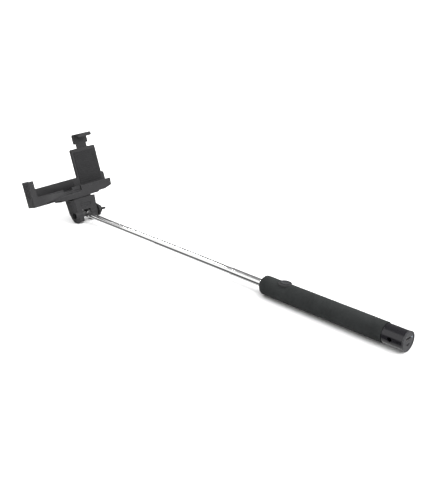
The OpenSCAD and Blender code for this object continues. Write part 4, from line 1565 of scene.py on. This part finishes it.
    def rubber(self, name: str, node: str, body: str, across: Axis, ribs: int) -> None:
        """Models one rubber strip with rounded edges and ribs across it.

        Args:
            name: name of the new piece.
            node: the CAD node that it replaces.
            body: the body that it rides on.
            across: the direction of the strip's thickness.
            ribs: how many grooves are cut along it.
        """
        box = self.lows[node]
        piece = block(name, tuple(box.low), tuple(box.high))
        thick = {Axis.X: 0, Axis.Y: 1, Axis.Z: 2}[across]
        out = {"stop_pad": 1, "back_pad": -1, "hook_pad": -1}.get(node, 1)
        rest = [i for i in range(3) if i != thick]
        long_way = max(rest, key=lambda i: box.size[i])
        pitch = box.size[long_way] / (ribs + 1)
        low, high = box.low.copy(), box.high.copy()
        depth = min(0.3, box.size[thick] * 0.45)
        if out > 0:
            low[thick], high[thick] = box.high[thick] - depth, box.high[thick] + 1
        else:
            low[thick], high[thick] = box.low[thick] - 1, box.low[thick] + depth
        for i in rest:
            if i != long_way:
                low[i], high[i] = box.low[i] + 0.6, box.high[i] - 0.6
        low[long_way] = box.low[long_way] + pitch - 0.3
        high[long_way] = low[long_way] + 0.6
        groove = block("groove", tuple(low), tuple(high))
        steps = [tuple(pitch * i if j == long_way else 0.0 for j in range(3)) for i in range(1, ribs)]
        cut(piece, *repeat("groove", groove, steps))
        soften(piece, 0.1, 40, 2)
        self.install(piece, body, "pad_rubber", node)

    def build(self) -> None:
        """Builds the clamp's pieces."""
        self.measure()
        self.body()
        self.slider()
        self.arm()
        self.cover()
        self.rubber("tray_pad_right", "body_floor_pad", "clamp", Axis.Z, 14)
        self.rubber("tray_pad_left", "slider_floor_pad", "slider", Axis.Z, 20)
        self.rubber("stop_rubber", "stop_pad", "slider", Axis.X, 8)
        self.rubber("back_rubber", "back_pad", "clamp", Axis.Y, 14)
        self.rubber("hook_rubber", "hook_pad", "arm", Axis.Z, 7)


# ---- Studio ----


@dataclass
class Studio:
    """Plain white floor, soft light, and the camera."""

    middle: Vector
    camera_from_middle: Point = (-0.4434, -0.6730, 0.2906)
    heading: float = 44.50
    dip: float = 23.53
    roll: float = -1.36
    lens: float = 50.5
    sensor: float = 36.0
    floor_size: float = 30.0
    floor_drop: float = 0.00005
    key_way: Point = (-0.45, 0.52, -0.73)
    key_energy: float = 1.0
    key_angle: float = 45.0
    strip_from: Point = (0.0, 0.65, 0.76)
    strip_away: float = 2.2
    strip_energy: float = 16.0
    strip_size: float = 0.36
    sky: float = 0.42
    glow: float = 2.3
    glow_from: Point = (0.60, -0.42, 0.68)
    mirrored: float = 0.24
    mirrored_steps: tuple[tuple[float, float, float], ...] = (
        (-2.70, -2.50, 0.40), (-1.05, -0.80, -0.58), (-0.10, 0.10, 1.15), (0.95, 1.30, -0.97),
    )

    def floor(self) -> None:
        """Lays the floor that the stick lies on."""
        deselect()
        bpy.ops.mesh.primitive_plane_add(size=self.floor_size, location=(0, 0, -self.floor_drop))
        floor = bpy.context.object
        floor.name = "studio_floor"
        material = bpy.data.materials.new("studio_white")
        material.use_nodes = True
        shader = material.node_tree.nodes["Principled BSDF"]
        shader.inputs["Base Color"].default_value = (0.90, 0.90, 0.90, 1)
        shader.inputs["Roughness"].default_value = 0.95
        shader.inputs["Specular IOR Level"].default_value = 0.1
        floor.data.materials.append(material)
        floor.visible_glossy = False

    def key_light(self) -> None:
        """Adds the broad main light, high on the right in front of the clamp."""
        deselect()
        bpy.ops.object.light_add(type="SUN", location=(1, -1, 2))
        light = bpy.context.object
        light.name = "key_light"
        light.data.energy = self.key_energy
        light.data.angle = math.radians(self.key_angle)
        light.rotation_euler = Vector(self.key_way).to_track_quat("-Z", "Y").to_euler()

    def strip_light(self) -> None:
        """Hangs a small light over the stick for round glossy pieces to mirror."""
        deselect()
        place = self.middle + Vector(self.strip_from) * self.strip_away
        bpy.ops.object.light_add(type="AREA", location=place)
        light = bpy.context.object
        light.name = "strip_light"
        light.data.energy = self.strip_energy
        light.data.size = self.strip_size
        light.rotation_euler = (self.middle - place).to_track_quat("-Z", "Y").to_euler()

    def room(self) -> None:
        """Lights the room: soft light for matt faces, bands for mirrored ones, white behind them all."""
        world = bpy.data.worlds.new("studio_sky")
        bpy.context.scene.world = world
        world.use_nodes = True
        world.node_tree.nodes.clear()
        graph = Graph(world.node_tree)
        where = graph.add("TexCoord").outputs["Generated"]
        toward = graph.add(
            "VectorMath", {0: where, 1: Vector(self.glow_from).normalized()}, operation="DOT_PRODUCT")
        soft = graph.range(toward.outputs["Value"], -0.1, 1.0, self.sky, self.sky + self.glow)
        axes = graph.add("SeparateXYZ", {0: where}).outputs
        around = graph.math("ARCTAN2", axes["Z"], graph.math("MULTIPLY", axes["X"], -1.0))
        bands = self.mirrored
        for low, high, change in self.mirrored_steps:
            bands = graph.math("ADD", graph.range(around, low, high, 0.0, change), bands)
        path = graph.add("LightPath").outputs
        strength = graph.mix(path["Is Glossy Ray"], soft, bands)
        strength = graph.math("MAXIMUM", strength, path["Is Camera Ray"])
        light = graph.add("Background", {"Color": (1, 1, 1, 1), "Strength": strength})
        output = world.node_tree.nodes.new("ShaderNodeOutputWorld")
        world.node_tree.links.new(light.outputs[0], output.inputs["Surface"])

    def camera(self) -> None:
        """Sets the camera up to the left of the handle, looking down at the head."""
        heading, dip, roll = (math.radians(a) for a in (self.heading, self.dip, self.roll))
        flat = math.cos(dip)
        ahead = Vector((math.sin(heading) * flat, math.cos(heading) * flat, -math.sin(dip)))
        level = Vector((math.cos(heading), -math.sin(heading), 0))
        above = level.cross(ahead)
        right = level * math.cos(roll) + above * math.sin(roll)
        up = above * math.cos(roll) - level * math.sin(roll)
        deselect()
        bpy.ops.object.camera_add()
        camera = bpy.context.object
        camera.name = "studio_camera"
        turn = Matrix((right, up, -ahead)).transposed().to_4x4()
        camera.matrix_world = Matrix.Translation(self.middle + Vector(self.camera_from_middle)) @ turn
        camera.data.lens = self.lens
        camera.data.sensor_width = self.sensor
        camera.data.clip_start = 0.01
        bpy.context.scene.camera = camera

    def build(self) -> None:
        """Builds the studio."""
        self.camera()
        self.floor()
        self.room()
        self.key_light()
        self.strip_light()
        bpy.context.scene.view_settings.view_transform = "Standard"


def main() -> None:
    """Dresses the frame, builds every sub-assembly in order and lights the scene."""
    logging.basicConfig(level=logging.INFO, format="%(name)s: %(message)s")
    wardrobe = Wardrobe()
    wardrobe.dress_frame()
    stick, head = stick_datum(), head_datum()
    Studio(head.origin).build()
    assemblies: tuple[Assembly, ...] = (
        Pole(stick, wardrobe), Grip(stick, wardrobe), EndCap(stick, wardrobe), Head(head, wardrobe),
        Clamp(head, wardrobe),
    )
    for assembly in assemblies:
        LOG.info("building %s", type(assembly).__name__)
        assembly.build()
    deselect()


if __name__ == "__main__":
    main()
